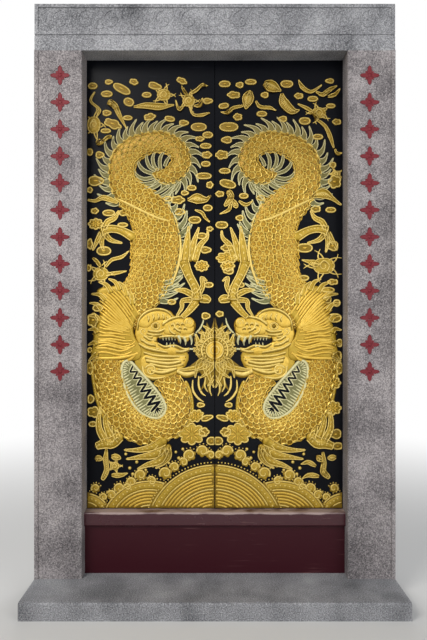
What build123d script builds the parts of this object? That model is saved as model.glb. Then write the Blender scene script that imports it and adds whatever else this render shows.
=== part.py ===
from build123d import *

import math
import os

# Doorway between the granite faces
opening_width = 1600.0
leaf_clear_height = 2800.0
threshold_height = 380.0

# Granite frame
jamb_face_width = 285.0
jamb_front_depth = 150.0
jamb_back_depth = 130.0
jamb_bead_width = 22.0
jamb_bead_height = 8.0
arris_chamfer = 6.0
lintel_height = 280.0
lintel_band = 85.0
lintel_groove = 12.0
lintel_groove_depth = 6.0
frieze_margin = 20.0
frieze_depth = 8.0
sill_thickness = 100.0
sill_front = 330.0
sill_back = 90.0
sill_nosing = 12.0

# Painted rosette grounds cut in the jamb faces
rosette_count = 12
rosette_pitch = 162.0
rosette_radius = 62.0
rosette_depth = 3.0
rosette_first_drop = 150.0

# Timber threshold
threshold_board_thickness = 60.0
cap_height = 85.0
cap_projection = 25.0
cap_rounding = 10.0

# Timber leaves
leaf_thickness = 70.0
board_thickness = 50.0
boards_per_leaf = 3
pivot_offset = 40.0
pivot_stile_width = 105.0
meeting_stile_width = 130.0
leaf_head_lap = 60.0
leaf_foot_lap = 30.0
ledge_count = 5
ledge_height = 90.0
ledge_thickness = 32.0
ledge_end_distance = 160.0

# Clearances
closing_clearance = 3.0
meeting_clearance = 2.0
heel_clearance = 10.0
head_clearance = 10.0
running_clearance = 0.3
seat_clearance = 0.3
relief_clearance = 4.0

# Pivots and their seats
pillow_height = 280.0
pillow_side_margin = 50.0
pillow_depth = 150.0
cup_radius = 30.0
cup_depth = 50.0
cup_floor = 8.0
shoe_radius = 22.0
shoe_wall = 4.0
shoe_length = 70.0
head_beam_height = 130.0
head_beam_bearing = 90.0
head_tenon_radius = 20.0
ferrule_wall = 4.0
head_tenon_recess = 10.0
cramp_count = 3
cramp_width = 50.0
cramp_thickness = 8.0
cramp_rise = 60.0
cramp_reach = 100.0
cramp_spacing = 600.0

# Sliding bar at the back
bar_height = 70.0
bar_depth = 60.0
bar_length = 634.0
bar_clearance = 0.5
bar_end_setback = 4.0
keeper_width = 100.0
keeper_cheek = 30.0
keeper_front = 20.0
keeper_inset = 20.0
inner_keeper_distance = 440.0

# Carver's drawing: squares counted across to the meeting line and down to the threshold
drawing_columns = 128.0
drawing_rows = 448.0
meeting_column = 215.0
threshold_row = 508.5

# Relief heights above the boards
body_relief = 26.0
body_facets = 4
body_step = 3
crest_relief = 9.0
claw_relief = 15.0
mane_relief = 14.0
strand_relief = 19.0
face_relief = 22.0
snout_relief = 27.0
jaw_relief = 17.0
pearl_relief = 24.0
flame_relief = 11.0
cloud_relief = 9.0
creature_relief = 11.0
foam_relief = 13.0
wave_reliefs = (12.0, 8.0, 13.0, 9.0)
smallest_scrap = 60.0
small_cloud_width = 12.5
small_cloud_corners = 5
large_cloud_corners = 8
cloud_swell = 0.56
cloud_waist = 0.48
drop_corners = 5
mound_corners = 20
crest_length = 15.0
loop_crest_length = 5.0
short_spine_share = 0.7
spine_rise = 0.75
spine_sweep = 0.6
belly_teeth = 9
belly_gap = (6.0, 2.0)
boss_corners = 8
pearl_corners = 16
crown_share = 0.4
full_crown_width = 40.0

# Levels and faces that follow from the sizes above
floor_z = sill_thickness
threshold_top = floor_z + threshold_height
soffit_z = threshold_top + leaf_clear_height
half_opening = opening_width / 2
jamb_outer = half_opening + jamb_face_width
frame_front = -jamb_front_depth
pivot_x = half_opening + pivot_offset
pivot_y = closing_clearance + leaf_thickness / 2
rebate_x = pivot_x + leaf_thickness / 2 + heel_clearance
leaf_front = closing_clearance
leaf_back = leaf_front + leaf_thickness
leaf_foot = threshold_top - leaf_foot_lap
leaf_head = soffit_z + leaf_head_lap
beam_foot = leaf_head + head_clearance
beam_top = beam_foot + head_beam_height
stile_inner = pivot_x - pivot_stile_width
meeting_inner = meeting_clearance + meeting_stile_width
pillow_top = floor_z + pillow_height
cup_foot = pillow_top - cup_depth
shoe_foot = cup_foot + cup_floor + running_clearance
ferrule_radius = head_tenon_radius + ferrule_wall

# Course of the dragon's upper body from tail tip to mane: column, row, width
UPPER_COURSE = [
    (155, 172, 6), (165, 177, 14), (176, 172, 18), (182, 160, 18), (176, 148, 19), (163, 142, 20),
    (148, 143, 21), (134, 149, 24), (124, 160, 25), (122, 175, 26), (126, 188, 28), (138, 201, 34),
    (150, 214, 40), (156, 230, 44), (156, 248, 48), (154, 265, 44), (150, 280, 40), (142, 293, 38),
    (130, 306, 37), (118, 321, 35), (108, 340, 31),
]

# Course of the lower loop from mane to jaw
LOWER_COURSE = [
    (107, 352, 27), (108, 366, 27), (110, 380, 28), (116, 400, 31), (128, 420, 32), (150, 431, 27),
    (168, 425, 25), (177, 415, 24), (178, 400, 23), (172, 385, 23), (164, 376, 22),
]

# Stretches of the courses that carry a crest, counted in points of the course
COIL_CREST = (0.7, 10.7)
TRUNK_CREST = (12, 17)
LOOP_OUTER_CREST = (0.7, 4)
LOOP_RISING_CREST = (6, 9)

# Eye of the lower loop, filled by the belly crest
BELLY_WINDOW = [
    (130, 361), (139, 370), (150, 382), (158, 392), (164, 401), (166, 410), (160, 417), (150, 417),
    (140, 411), (131, 400), (125, 386), (122, 372), (124, 363),
]
BELLY_AXIS = ((131, 367), (157, 408))

# Mane, face, snout and jaw outlines
MANE = [
    (100, 299), (97, 291), (103, 287), (112, 286), (122, 285), (130, 298), (141, 312), (136, 320),
    (134, 331), (137, 339), (142, 348), (140, 360), (121, 360), (93, 358), (93, 346), (94, 335),
    (97, 325), (102, 315), (108, 306),
]
FACE = [
    (137, 325), (139, 318), (145, 313), (153, 310), (163, 309), (171, 311), (176, 316), (192, 318),
    (196, 324), (195, 331), (192, 337), (186, 343), (184, 338), (179, 343), (176, 338), (160, 337),
    (158, 342), (165, 346), (172, 344), (181, 349), (190, 348), (184, 353), (172, 355), (158, 353),
    (146, 351), (139, 344), (135, 334),
]
SNOUT = [(164, 319), (178, 318), (191, 320), (195, 326), (192, 334), (178, 335), (165, 334), (161, 326)]
JAW = [
    (148, 354), (160, 356), (173, 357), (184, 355), (187, 359), (185, 366), (180, 372), (171, 376),
    (160, 379), (150, 377), (143, 371), (140, 363), (142, 357),
]
EYE = (156, 326, 3.5)
CHEEK_SPIRAL = (151, 370, 4.5)
MANE_STRANDS = [
    [(101, 291, 3), (114, 303, 4), (126, 317, 4), (133, 328, 2)],
    [(112, 288, 3), (122, 299, 4), (130, 310, 4), (136, 319, 2)],
    [(97, 325, 3), (108, 329, 4), (121, 333, 4), (132, 332, 2)],
    [(95, 337, 3), (109, 340, 4), (123, 341, 4), (134, 338, 2)],
    [(95, 350, 3), (110, 349, 4), (124, 349, 4), (139, 345, 2)],
]
JAW_STRANDS = [
    [(147, 360, 3), (158, 362, 3), (170, 363, 3), (181, 361, 2)],
    [(152, 370, 3), (160, 372, 3), (168, 371, 3), (177, 368, 2)],
]

# Legs, fingers and flame tufts
CLAWS = [
    [(133, 237, 9), (122, 231, 7), (112, 229, 7), (103, 231, 8)],
    [(104, 230, 5), (108, 222, 5), (115, 218, 4), (119, 211, 1)],
    [(102, 233, 5), (98, 240, 4), (93, 250, 1)],
    [(104, 234, 5), (102, 242, 4), (104, 252, 1)],
    [(105, 233, 5), (111, 240, 4), (122, 243, 1)],
    [(184, 262, 10), (189, 275, 8), (196, 289, 8), (197, 299, 10)],
    [(199, 294, 5), (203, 286, 4), (202, 278, 3), (207, 281, 1)],
    [(200, 299, 6), (206, 299, 8), (210, 301, 4)],
    [(194, 296, 5), (185, 291, 5), (175, 290, 1)],
    [(193, 300, 5), (183, 301, 4), (182, 308, 3), (177, 316, 1)],
    [(196, 302, 8), (190, 310, 6), (183, 317, 4)],
    [(185, 262, 8), (187, 247, 7), (189, 227, 1)],
    [(190, 260, 6), (194, 243, 5), (199, 228, 1)],
    [(195, 260, 6), (200, 246, 5), (207, 238, 3), (208, 231, 1)],
    [(120, 436, 10), (113, 442, 11), (106, 443, 10), (97, 446, 6)],
    [(106, 440, 7), (100, 430, 6), (99, 418, 4), (101, 407, 1)],
    [(112, 438, 7), (107, 427, 5), (106, 418, 4), (111, 411, 1)],
    [(118, 437, 6), (115, 428, 5), (116, 417, 1)],
    [(164, 440, 10), (152, 447, 7), (138, 450, 4), (125, 450, 1)],
    [(164, 445, 9), (155, 454, 8), (140, 457, 4), (127, 459, 1)],
    [(166, 447, 8), (160, 460, 7), (147, 465, 4), (138, 469, 1)],
    [(168, 446, 6), (169, 456, 5), (164, 463, 3), (156, 468, 1)],
]

# Rays of the tail inside the coil
TAIL_RAYS = [
    [(158, 169, 4), (148, 163, 3), (145, 154, 1)],
    [(160, 168, 4), (154, 161, 3), (154, 152, 1)],
    [(163, 168, 4), (160, 161, 3), (164, 152, 1)],
    [(166, 169, 4), (166, 162, 3), (170, 156, 1)],
    [(156, 172, 5), (145, 171, 4), (138, 160, 1)],
    [(157, 175, 5), (145, 178, 4), (135, 171, 1)],
    [(160, 179, 5), (148, 184, 4), (136, 181, 1)],
    [(163, 182, 5), (156, 190, 4), (146, 191, 1)],
]

# Half of the flaming pearl
PEARL = (215, 350, 12)
PEARL_FLAME = [
    (215, 317), (213, 324), (211, 330), (207, 322), (205, 333), (201, 328), (200, 340), (194, 337),
    (196, 348), (192, 347), (199, 359), (190, 366), (180, 370), (177, 374), (188, 376), (200, 372),
    (205, 380), (200, 392), (207, 384), (209, 394), (212, 383), (215, 388),
]

# Clouds that both leaves share: column, row, width, height, tilt in degrees
SHARED_CLOUDS = [
    (196, 416, 15, 11, 20), (207, 418, 12, 5, 15), (192, 434, 25, 20, 0), (204, 432, 10, 8, 0),
    (212, 441, 9, 8, 0), (201, 405, 7, 4, 0), (202, 266, 13, 10, 0), (90, 368, 7, 12, 0),
]
LEFT_CLOUDS = [
    (93, 86, 8, 6, 0), (109, 82, 7, 4, 0), (122, 89, 17, 8, -28), (134, 82, 8, 5, -15),
    (107, 94, 10, 6, 0), (155, 86, 13, 6, -15), (147, 95, 8, 5, 0), (182, 81, 10, 5, -25),
    (129, 102, 9, 8, -20), (107, 113, 8, 5, 0), (128, 118, 8, 4, 0), (150, 117, 11, 6, 10),
    (170, 119, 9, 5, -10), (184, 123, 9, 5, 0), (199, 127, 14, 8, 0), (113, 124, 17, 8, -22),
    (106, 131, 9, 4, 0), (208, 101, 9, 5, 0), (208, 135, 9, 6, 0), (200, 139, 8, 4, 0),
    (206, 146, 10, 5, 0), (100, 155, 8, 6, 0), (90, 152, 5, 7, 0), (207, 155, 9, 6, 0),
    (206, 164, 8, 5, 0), (96, 181, 15, 9, 0), (204, 176, 14, 6, 0), (210, 185, 6, 6, 0),
    (192, 188, 8, 5, 0), (185, 193, 7, 4, 0), (168, 199, 8, 5, 0), (178, 200, 13, 7, 0),
    (208, 208, 8, 6, 0), (180, 212, 10, 6, 0), (195, 220, 11, 7, 0), (95, 211, 7, 5, 0),
    (109, 213, 11, 6, 0), (124, 213, 9, 5, 0), (123, 225, 9, 4, 0), (90, 190, 5, 5, 0),
    (96, 224, 14, 10, 0), (206, 250, 10, 6, 0), (202, 236, 9, 6, 0), (210, 229, 6, 4, 0),
    (209, 285, 8, 5, 0), (89, 268, 4, 6, 0), (98, 308, 9, 7, 0), (93, 320, 10, 13, 0),
    (90, 350, 4, 5, 0), (206, 316, 8, 6, 0), (172, 302, 7, 5, 0), (94, 412, 12, 10, 0),
    (93, 424, 7, 5, 0), (91, 399, 6, 8, 0), (104, 251, 13, 9, 0), (90, 244, 5, 10, 0),
]
RIGHT_CLOUDS = [
    (225, 84, 10, 6, 0), (240, 85, 7, 5, 0), (251, 82, 10, 5, 0), (234, 95, 12, 6, 0),
    (224, 106, 9, 5, 10), (265, 95, 7, 5, 0), (287, 84, 11, 7, 0), (299, 96, 8, 5, 0),
    (313, 99, 9, 5, 0), (330, 81, 8, 4, 0), (331, 106, 8, 4, 0), (238, 117, 8, 6, 0),
    (262, 114, 9, 5, 0), (283, 119, 8, 5, 0), (305, 121, 10, 7, 0), (337, 122, 8, 5, 0),
    (229, 127, 17, 9, 0), (227, 140, 10, 6, 0), (318, 137, 9, 5, 0), (222, 155, 12, 8, 0),
    (225, 171, 10, 5, 0), (333, 165, 6, 5, 0), (228, 184, 15, 8, -15), (220, 194, 8, 5, 0),
    (244, 196, 8, 5, 0), (261, 198, 8, 5, 0), (305, 208, 8, 5, 0), (316, 209, 9, 6, 0),
    (331, 210, 9, 5, 0), (240, 218, 7, 5, 0), (222, 225, 11, 7, 0), (227, 248, 11, 6, 0),
    (227, 258, 20, 11, 0), (229, 271, 10, 6, 0), (241, 285, 6, 5, 0), (333, 282, 10, 5, 0),
    (304, 278, 9, 5, 0), (327, 300, 9, 6, 0), (337, 303, 6, 7, 0), (220, 314, 7, 5, 0),
    (335, 318, 12, 9, 0), (337, 356, 10, 9, 0), (340, 343, 5, 8, 0), (333, 383, 15, 12, 0),
    (333, 408, 16, 13, 0), (336, 434, 11, 9, 0), (338, 446, 9, 7, 0), (335, 182, 12, 12, 0),
    (328, 290, 12, 5, 0), (333, 246, 11, 9, 0), (305, 248, 14, 9, 0),
]

# Sea creatures as strokes, then as lobed shapes
LEFT_STROKES = [
    [(95, 92, 2), (91, 101, 2), (100, 110, 2), (97, 117, 2)],
    [(108, 103, 9), (115, 106, 6), (120, 116, 4), (127, 129, 1)],
    [(97, 144, 7), (102, 143, 3), (108, 138, 3), (113, 138, 2)],
    [(134, 107, 4), (146, 106, 6), (160, 107, 7), (174, 105, 3)],
    [(189, 95, 3), (196, 91, 3), (202, 86, 2), (208, 86, 1)],
    [(188, 96, 3), (184, 92, 2), (182, 86, 1)],
    [(184, 106, 3), (179, 110, 2), (176, 100, 1)],
    [(190, 107, 3), (194, 115, 2), (203, 115, 3), (210, 113, 1)],
    [(194, 106, 2), (200, 106, 3), (203, 101, 1)],
    [(188, 200, 6), (197, 199, 11), (206, 200, 5), (211, 196, 2)],
    [(195, 210, 2), (202, 213, 3), (206, 219, 2), (210, 223, 1)],
    [(88, 200, 3), (96, 201, 3), (104, 198, 5), (118, 203, 8)],
    [(93, 258, 3), (98, 262, 3), (101, 267, 4)],
    [(106, 267, 4), (112, 260, 3), (122, 257, 3), (129, 251, 1)],
    [(109, 274, 4), (117, 273, 3), (127, 271, 1)],
    [(107, 448, 4), (106, 459, 5), (107, 470, 5), (103, 479, 9)],
    [(96, 457, 7), (103, 459, 4)],
    [(112, 456, 7), (121, 458, 5)],
    [(112, 475, 6), (121, 475, 4), (128, 473, 1)],
]
LEFT_LOBES = [(94, 125, 12, 18), (164, 95, 12, 12), (189, 101, 11, 12), (101, 274, 14, 14), (115, 466, 8, 8)]
RIGHT_STROKES = [
    [(250, 92, 9), (248, 100, 12), (246, 109, 5)],
    [(244, 106, 4), (234, 108, 3), (228, 113, 3), (221, 112, 1)],
    [(256, 101, 3), (260, 107, 3), (270, 108, 3), (276, 111, 1)],
    [(264, 85, 10), (272, 87, 12), (281, 91, 4)],
    [(282, 94, 7), (284, 103, 10), (292, 111, 8), (299, 111, 3)],
    [(299, 80, 1), (302, 87, 4), (311, 92, 3), (322, 85, 2)],
    [(316, 92, 3), (323, 95, 4), (330, 90, 4), (337, 86, 2)],
    [(328, 97, 4), (335, 95, 3), (339, 91, 1)],
    [(298, 104, 2), (306, 108, 3), (313, 113, 3), (315, 118, 3)],
    [(316, 119, 4), (325, 126, 3), (330, 136, 4), (334, 148, 3)],
    [(335, 149, 2), (337, 154, 2), (341, 155, 1)],
    [(228, 191, 9), (231, 198, 6), (225, 206, 7)],
    [(233, 200, 4), (237, 208, 6)],
    [(239, 201, 3), (246, 205, 3), (253, 201, 1)],
    [(231, 204, 3), (229, 210, 3), (220, 214, 1)],
    [(312, 197, 9), (323, 194, 11), (333, 199, 4), (341, 205, 4)],
    [(302, 260, 1), (310, 262, 4), (318, 265, 12)],
    [(323, 452, 5), (324, 463, 5), (323, 471, 6), (329, 477, 10)],
    [(317, 456, 7), (322, 460, 4)],
    [(336, 457, 6), (328, 458, 5)],
    [(319, 476, 6), (309, 475, 4), (302, 478, 1)],
    [(316, 466, 5), (308, 462, 4), (301, 464, 1)],
]
RIGHT_LOBES = [(319, 113, 13, 11), (324, 266, 20, 17), (336, 174, 8, 6)]

# Foam curls and spray drops above the waves: column, row, size
FOAM_CURLS = [
    (190, 455, 12), (203, 451, 12), (211, 455, 9), (166, 473, 13), (175, 467, 10), (184, 462, 9),
    (141, 475, 12), (132, 482, 10), (152, 481, 10), (120, 488, 11), (128, 487, 8), (112, 495, 10),
    (96, 488, 9), (104, 497, 8),
]
SPRAY_DROPS = [
    (126, 454), (137, 462), (130, 468), (146, 470), (153, 466), (169, 463), (176, 452), (179, 458),
    (183, 449), (133, 474),
]
drop_size = 3.6
curl_tilt = 20.0

# Wave mounds: centre column, centre row, ring radii from outside in
MIDDLE_MOUND = (215, 533.5, (66.5, 57, 43, 36))
SIDE_MOUND = (150, 530, (47, 40, 30))
CORNER_MOUND = (84, 522, (27, 21))


def on_leaf(column, row):
    """Doorway position, on the boards' face, of a point in the drawing."""
    across = (column - meeting_column) * half_opening / drawing_columns
    up = threshold_top + (threshold_row - row) * leaf_clear_height / drawing_rows
    return Vector(across, leaf_front, up)


def drawn_face(outline):
    """Flat face on the boards inside a closed outline of the drawing."""
    return Face(Wire.make_polygon([on_leaf(column, row) for column, row in outline], close=True))


def smooth_course(points, steps):
    """Stations of a smooth line through the given points, with its heading at each."""
    ends = [points[0]] + points + [points[-1]]
    stations = []
    for before, start, finish, after in zip(ends, ends[1:], ends[2:], ends[3:]):
        for step in range(steps):
            t = step / steps
            station = []
            for b, s, f, a in zip(before, start, finish, after):
                bend = 2 * b - 5 * s + 4 * f - a
                station.append(s + 0.5 * t * ((f - b) + t * (bend + t * (3 * s - b - 3 * f + a))))
            stations.append(station)
    stations.append(list(points[-1]))
    headings = []
    for index in range(len(stations)):
        ahead = stations[min(index + 1, len(stations) - 1)]
        behind = stations[max(index - 1, 0)]
        run = math.hypot(ahead[0] - behind[0], ahead[1] - behind[1])
        headings.append(((ahead[0] - behind[0]) / run, (ahead[1] - behind[1]) / run))
    return stations, headings


def rails(points, steps):
    """Both edges of a band of changing width along a course."""
    stations, headings = smooth_course(points, steps)
    near = []
    far = []
    for (column, row, width), (along, down) in zip(stations, headings):
        near.append((column - down * width / 2, row + along * width / 2))
        far.append((column + down * width / 2, row - along * width / 2))
    return near, far


def band_face(points, steps):
    """Face of a tapering stroke along a course, closed in one point where it runs out thin."""
    near, far = rails(points, steps)
    if points[-1][2] <= 1:
        far = far[:-1]
    return drawn_face(near + far[::-1])


def lobed_face(column, row, width, height, tilt=0.0):
    """Face of a cloud or shell: an oval with alternate full and drawn-in corners."""
    lean = math.radians(tilt)
    corners = large_cloud_corners if width > small_cloud_width else small_cloud_corners
    outline = []
    for corner in range(corners):
        angle = 2 * math.pi * (corner + 0.25) / corners
        swell = cloud_swell if corner % 2 == 0 else cloud_waist
        across = width * swell * math.cos(angle)
        down = height * swell * math.sin(angle)
        outline.append((
            column + across * math.cos(lean) + down * math.sin(lean),
            row - across * math.sin(lean) + down * math.cos(lean),
        ))
    return drawn_face(outline)


def round_face(column, row, radius, corners):
    """Face of a round boss."""
    turns = [2 * math.pi * corner / corners for corner in range(corners)]
    return drawn_face([(column + radius * math.cos(turn), row + radius * math.sin(turn)) for turn in turns])


def leaf_field():
    """Part of the left leaf that shows in the doorway, less the clearances of the relief."""
    left = -half_opening + relief_clearance
    foot = threshold_top + relief_clearance
    head = soffit_z - relief_clearance
    corners = [(left, foot), (-meeting_clearance, foot), (-meeting_clearance, head), (left, head)]
    return Face(Wire.make_polygon([Vector(x, leaf_front, z) for x, z in corners], close=True))


def near_enough(first, second):
    """True where the boxes of two shapes on the boards meet."""
    a = first.bounding_box()
    b = second.bounding_box()
    across = a.min.X <= b.max.X and b.min.X <= a.max.X
    return across and a.min.Z <= b.max.Z and b.min.Z <= a.max.Z


def trimmed(shapes, cutters):
    """Faces of the shapes that lie in the field and outside every cutter, largest forms first."""
    field = leaf_field()
    kept = []
    for shape in shapes:
        pieces = (shape & field).faces()
        for cutter in cutters + kept:
            remaining = []
            for piece in pieces:
                if near_enough(piece, cutter):
                    remaining.extend((piece - cutter).faces())
                else:
                    remaining.append(piece)
            pieces = remaining
        kept.extend(piece for piece in pieces if piece.area > smallest_scrap)
    return kept


def raised(faces, height):
    """Solids that stand on the boards with the given faces."""
    return [Solid.extrude(face, Vector(0, -height, 0)) for face in faces]


def flipped(shapes):
    """The same shapes on the other leaf."""
    return [mirror(shape, about=Plane.YZ) for shape in shapes]


def body_section(station, heading):
    """Crowned cross-section of the dragon's body at one station."""
    column, row, width = station
    along, down = heading
    crown = body_relief * (crown_share + (1 - crown_share) * min(1.0, width / full_crown_width))
    corners = []
    for corner in range(body_facets + 1):
        angle = math.pi * corner / body_facets
        across = width / 2 * math.cos(angle)
        base = on_leaf(column + down * across, row - along * across)
        corners.append(base + Vector(0, -crown * math.sin(angle), 0))
    return Wire.make_polygon(corners, close=True)


def body_solid(course, cutter_faces):
    """Length of the dragon's body, lofted along its course and cut back round the head."""
    stations, headings = smooth_course(course, body_step)
    sections = [body_section(station, heading) for station, heading in zip(stations, headings)]
    body = Solid.make_loft(sections, ruled=True)
    clear_height = body_relief * 2
    for face in cutter_faces:
        body = body - Solid.extrude(face, Vector(0, -clear_height, 0))
    return max(body.solids(), key=lambda solid: solid.volume)


def spine_faces(course, stretch, side, length):
    """Row of spines along a stretch of one edge of a body, swept back towards the tail."""
    near, far = rails(course, body_step)
    edge = near if side > 0 else far
    stations, headings = smooth_course(course, body_step)
    spines = []
    for index in range(round(stretch[0] * body_step), round(stretch[1] * body_step)):
        along, down = headings[index]
        reach = length if index % 2 == 0 else length * short_spine_share
        tip = (
            edge[index][0] + reach * (spine_rise * -down * side - spine_sweep * along),
            edge[index][1] + reach * (spine_rise * along * side - spine_sweep * down),
        )
        spines.append(drawn_face([edge[index], edge[index + 1], tip]))
    return spines


def belly_crest_faces():
    """Ring of short spines that lines the eye of the lower loop, round a zigzag gap."""
    start, finish = BELLY_AXIS
    run = math.hypot(finish[0] - start[0], finish[1] - start[1])
    along, down = (finish[0] - start[0]) / run, (finish[1] - start[1]) / run
    left = []
    right = []
    for tooth in range(belly_teeth + 1):
        place = run * tooth / belly_teeth
        wide, narrow = belly_gap if tooth % 2 == 0 else belly_gap[::-1]
        column, row = start[0] + along * place, start[1] + down * place
        left.append((column - down * wide, row + along * wide))
        right.append((column + down * narrow, row - along * narrow))
    return (drawn_face(BELLY_WINDOW) - drawn_face(left + right[::-1])).faces()


def mound_rings(mound, reliefs):
    """Rings of one wave mound as pairs of face and height, the inner disc last."""
    column, row, radii = mound
    rings = []
    for index, radius in enumerate(radii):
        disc = round_face(column, row, radius, mound_corners)
        if index + 1 < len(radii):
            disc = disc - round_face(column, row, radii[index + 1], mound_corners)
        rings.append((disc.faces()[0], reliefs[index]))
    return rings


def dragon_relief():
    """Shared relief of the left leaf: solids of each node, and the faces that they cover."""
    face_parts = trimmed([drawn_face(FACE), drawn_face(JAW)], [])
    face_area = trimmed([drawn_face(FACE)], [])
    jaw_area = trimmed([drawn_face(JAW)], face_area)
    head = raised(face_area, face_relief) + raised(jaw_area, jaw_relief)
    snout = raised([drawn_face(SNOUT)], snout_relief)
    eye = raised([round_face(*EYE, boss_corners)], snout_relief)
    spiral = raised([round_face(*CHEEK_SPIRAL, boss_corners)], face_relief)
    strands = raised([band_face(strand, 1) for strand in JAW_STRANDS], face_relief)
    head_solid = head[0].fuse(*head[1:], *snout, *eye, *spiral, *strands)

    mane_area = trimmed([drawn_face(MANE)], face_parts)
    mane = raised(mane_area, mane_relief)
    mane_bands = trimmed([band_face(strand, 1) for strand in MANE_STRANDS], face_parts)
    inside_mane = []
    for band in mane_bands:
        for area in mane_area:
            inside_mane.extend((band & area).faces())
    mane_solid = mane[0].fuse(*mane[1:], *raised(inside_mane, strand_relief))

    head_faces = face_area + jaw_area + mane_area
    upper_near, upper_far = rails(UPPER_COURSE, body_step)
    lower_near, lower_far = rails(LOWER_COURSE, body_step)
    upper_area = trimmed([drawn_face(upper_near + upper_far[::-1])], head_faces)
    lower_area = trimmed([drawn_face(lower_near + lower_far[::-1])], head_faces + upper_area)
    upper = body_solid(UPPER_COURSE, head_faces)
    lower = body_solid(LOWER_COURSE, head_faces)

    covered = head_faces + upper_area + lower_area
    pearl_area = trimmed([round_face(*PEARL, pearl_corners)], [])
    flame_area = trimmed([drawn_face(PEARL_FLAME)], covered + pearl_area)
    belly_area = trimmed(belly_crest_faces(), covered)
    covered = covered + pearl_area + flame_area + belly_area

    claw_area = trimmed([band_face(claw, 1) for claw in CLAWS], covered)
    covered = covered + claw_area
    crests = (
        spine_faces(UPPER_COURSE, COIL_CREST, 1, crest_length)
        + spine_faces(UPPER_COURSE, TRUNK_CREST, -1, crest_length)
        + spine_faces(LOWER_COURSE, LOOP_OUTER_CREST, 1, loop_crest_length)
        + spine_faces(LOWER_COURSE, LOOP_RISING_CREST, 1, loop_crest_length)
    )
    crest_area = trimmed(crests + [band_face(ray, 1) for ray in TAIL_RAYS], covered)
    covered = covered + crest_area

    solids = {
        "dragon_body": [upper],
        "dragon_loop": [lower],
        "dragon_head": head_solid.solids(),
        "dragon_mane": mane_solid.solids(),
        "dragon_claws": raised(claw_area, claw_relief),
        "dragon_crest": raised(crest_area, crest_relief),
        "dragon_belly_crest": raised(belly_area, crest_relief),
        "pearl_half": raised(pearl_area, pearl_relief) + raised(flame_area, flame_relief),
    }
    return solids, covered


def sea_relief(covered):
    """Waves, foam and spray of the left leaf, trimmed by what is already covered."""
    waves = []
    for mound in (MIDDLE_MOUND, SIDE_MOUND, CORNER_MOUND):
        for ring, height in mound_rings(mound, wave_reliefs):
            area = trimmed([ring], covered)
            waves.extend(raised(area, height))
            covered = covered + area
    curls = [lobed_face(column, row, size, size, curl_tilt) for column, row, size in FOAM_CURLS]
    drops = [round_face(column, row, drop_size / 2, drop_corners) for column, row in SPRAY_DROPS]
    foam_area = trimmed(curls + drops, covered)
    return {"waves": waves, "foam": raised(foam_area, foam_relief)}, covered + foam_area


def scattered_relief(strokes, lobes, clouds, covered, on_right):
    """Creatures and clouds of one leaf. The right leaf's are worked out on the left and flipped."""
    def to_left(column):
        return 2 * meeting_column - column if on_right else column

    turn = -1 if on_right else 1
    stroke_faces = []
    for stroke in strokes:
        stroke_faces.append(band_face([(to_left(column), row, width) for column, row, width in stroke], 1))
    lobe_faces = [lobed_face(to_left(column), row, w, h) for column, row, w, h in lobes]
    creature_area = trimmed(lobe_faces + stroke_faces, covered)
    cloud_faces = [lobed_face(to_left(c), row, w, h, turn * tilt) for c, row, w, h, tilt in clouds]
    cloud_area = trimmed(cloud_faces, covered + creature_area)
    return {
        "sea_creatures": raised(creature_area, creature_relief),
        "clouds": raised(cloud_area, cloud_relief),
    }


def block(x_range, y_range, z_range):
    """Rectangular solid between three pairs of faces."""
    size = [high - low for low, high in (x_range, y_range, z_range)]
    low_corner = Pos(x_range[0], y_range[0], z_range[0])
    return low_corner * Box(*size, align=(Align.MIN, Align.MIN, Align.MIN))


def upright(radius, foot, head, centre_x):
    """Vertical cylinder on a pivot axis."""
    low = Pos(centre_x, pivot_y, foot)
    return low * Cylinder(radius, head - foot, align=(Align.CENTER, Align.CENTER, Align.MIN))


def make_rosette(centre_x, centre_z):
    """Cutter of one lozenge-shaped rosette ground in the jamb's face."""
    corners = []
    for corner in range(4):
        angle = math.pi * corner / 2
        corners.append(Vector(
            centre_x + rosette_radius * math.cos(angle),
            frame_front + rosette_depth,
            centre_z + rosette_radius * math.sin(angle),
        ))
    return Solid.extrude(Face(Wire.make_polygon(corners, close=True)), Vector(0, -2 * rosette_depth, 0))


def make_jamb():
    """Right granite jamb with its rebate, outer bead and rosettes."""
    bead_start = jamb_outer - jamb_bead_width
    front = make_face(Polyline(
        (half_opening, 0),
        (half_opening, frame_front + arris_chamfer),
        (half_opening + arris_chamfer, frame_front),
        (bead_start, frame_front),
        (bead_start, frame_front - jamb_bead_height),
        (jamb_outer, frame_front - jamb_bead_height),
        (jamb_outer, 0),
        close=True,
    ))
    shaft = Pos(0, 0, floor_z) * extrude(front, soffit_z - floor_z)
    back = block((rebate_x, jamb_outer), (0, jamb_back_depth), (floor_z, beam_foot))
    jamb = shaft + back
    centre_x = (half_opening + bead_start) / 2
    for index in range(rosette_count):
        centre_z = soffit_z - rosette_first_drop - index * rosette_pitch
        jamb = jamb - make_rosette(centre_x, centre_z)
    return jamb


def make_lintel():
    """Granite lintel with its plain band, groove and sunk frieze field."""
    top = soffit_z + lintel_height
    lintel = block((-jamb_outer, jamb_outer), (frame_front, 0), (soffit_z, top))
    groove_foot = soffit_z + lintel_band
    groove = block(
        (-jamb_outer, jamb_outer),
        (frame_front, frame_front + lintel_groove_depth),
        (groove_foot, groove_foot + lintel_groove),
    )
    frieze_foot = groove_foot + lintel_groove + frieze_margin
    frieze = block(
        (-jamb_outer + frieze_margin, jamb_outer - frieze_margin),
        (frame_front, frame_front + frieze_depth),
        (frieze_foot, top - frieze_margin),
    )
    return lintel - groove - frieze


def make_sill():
    """Granite doorstep slab with a rounded front edge."""
    front = frame_front - sill_front
    sill = block((-jamb_outer, jamb_outer), (front, pillow_depth + sill_back), (0, floor_z))
    nosing = sill.edges().filter_by(Axis.X).group_by(Axis.Y)[0].sort_by(Axis.Z)[-1]
    return fillet(nosing, sill_nosing)


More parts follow.
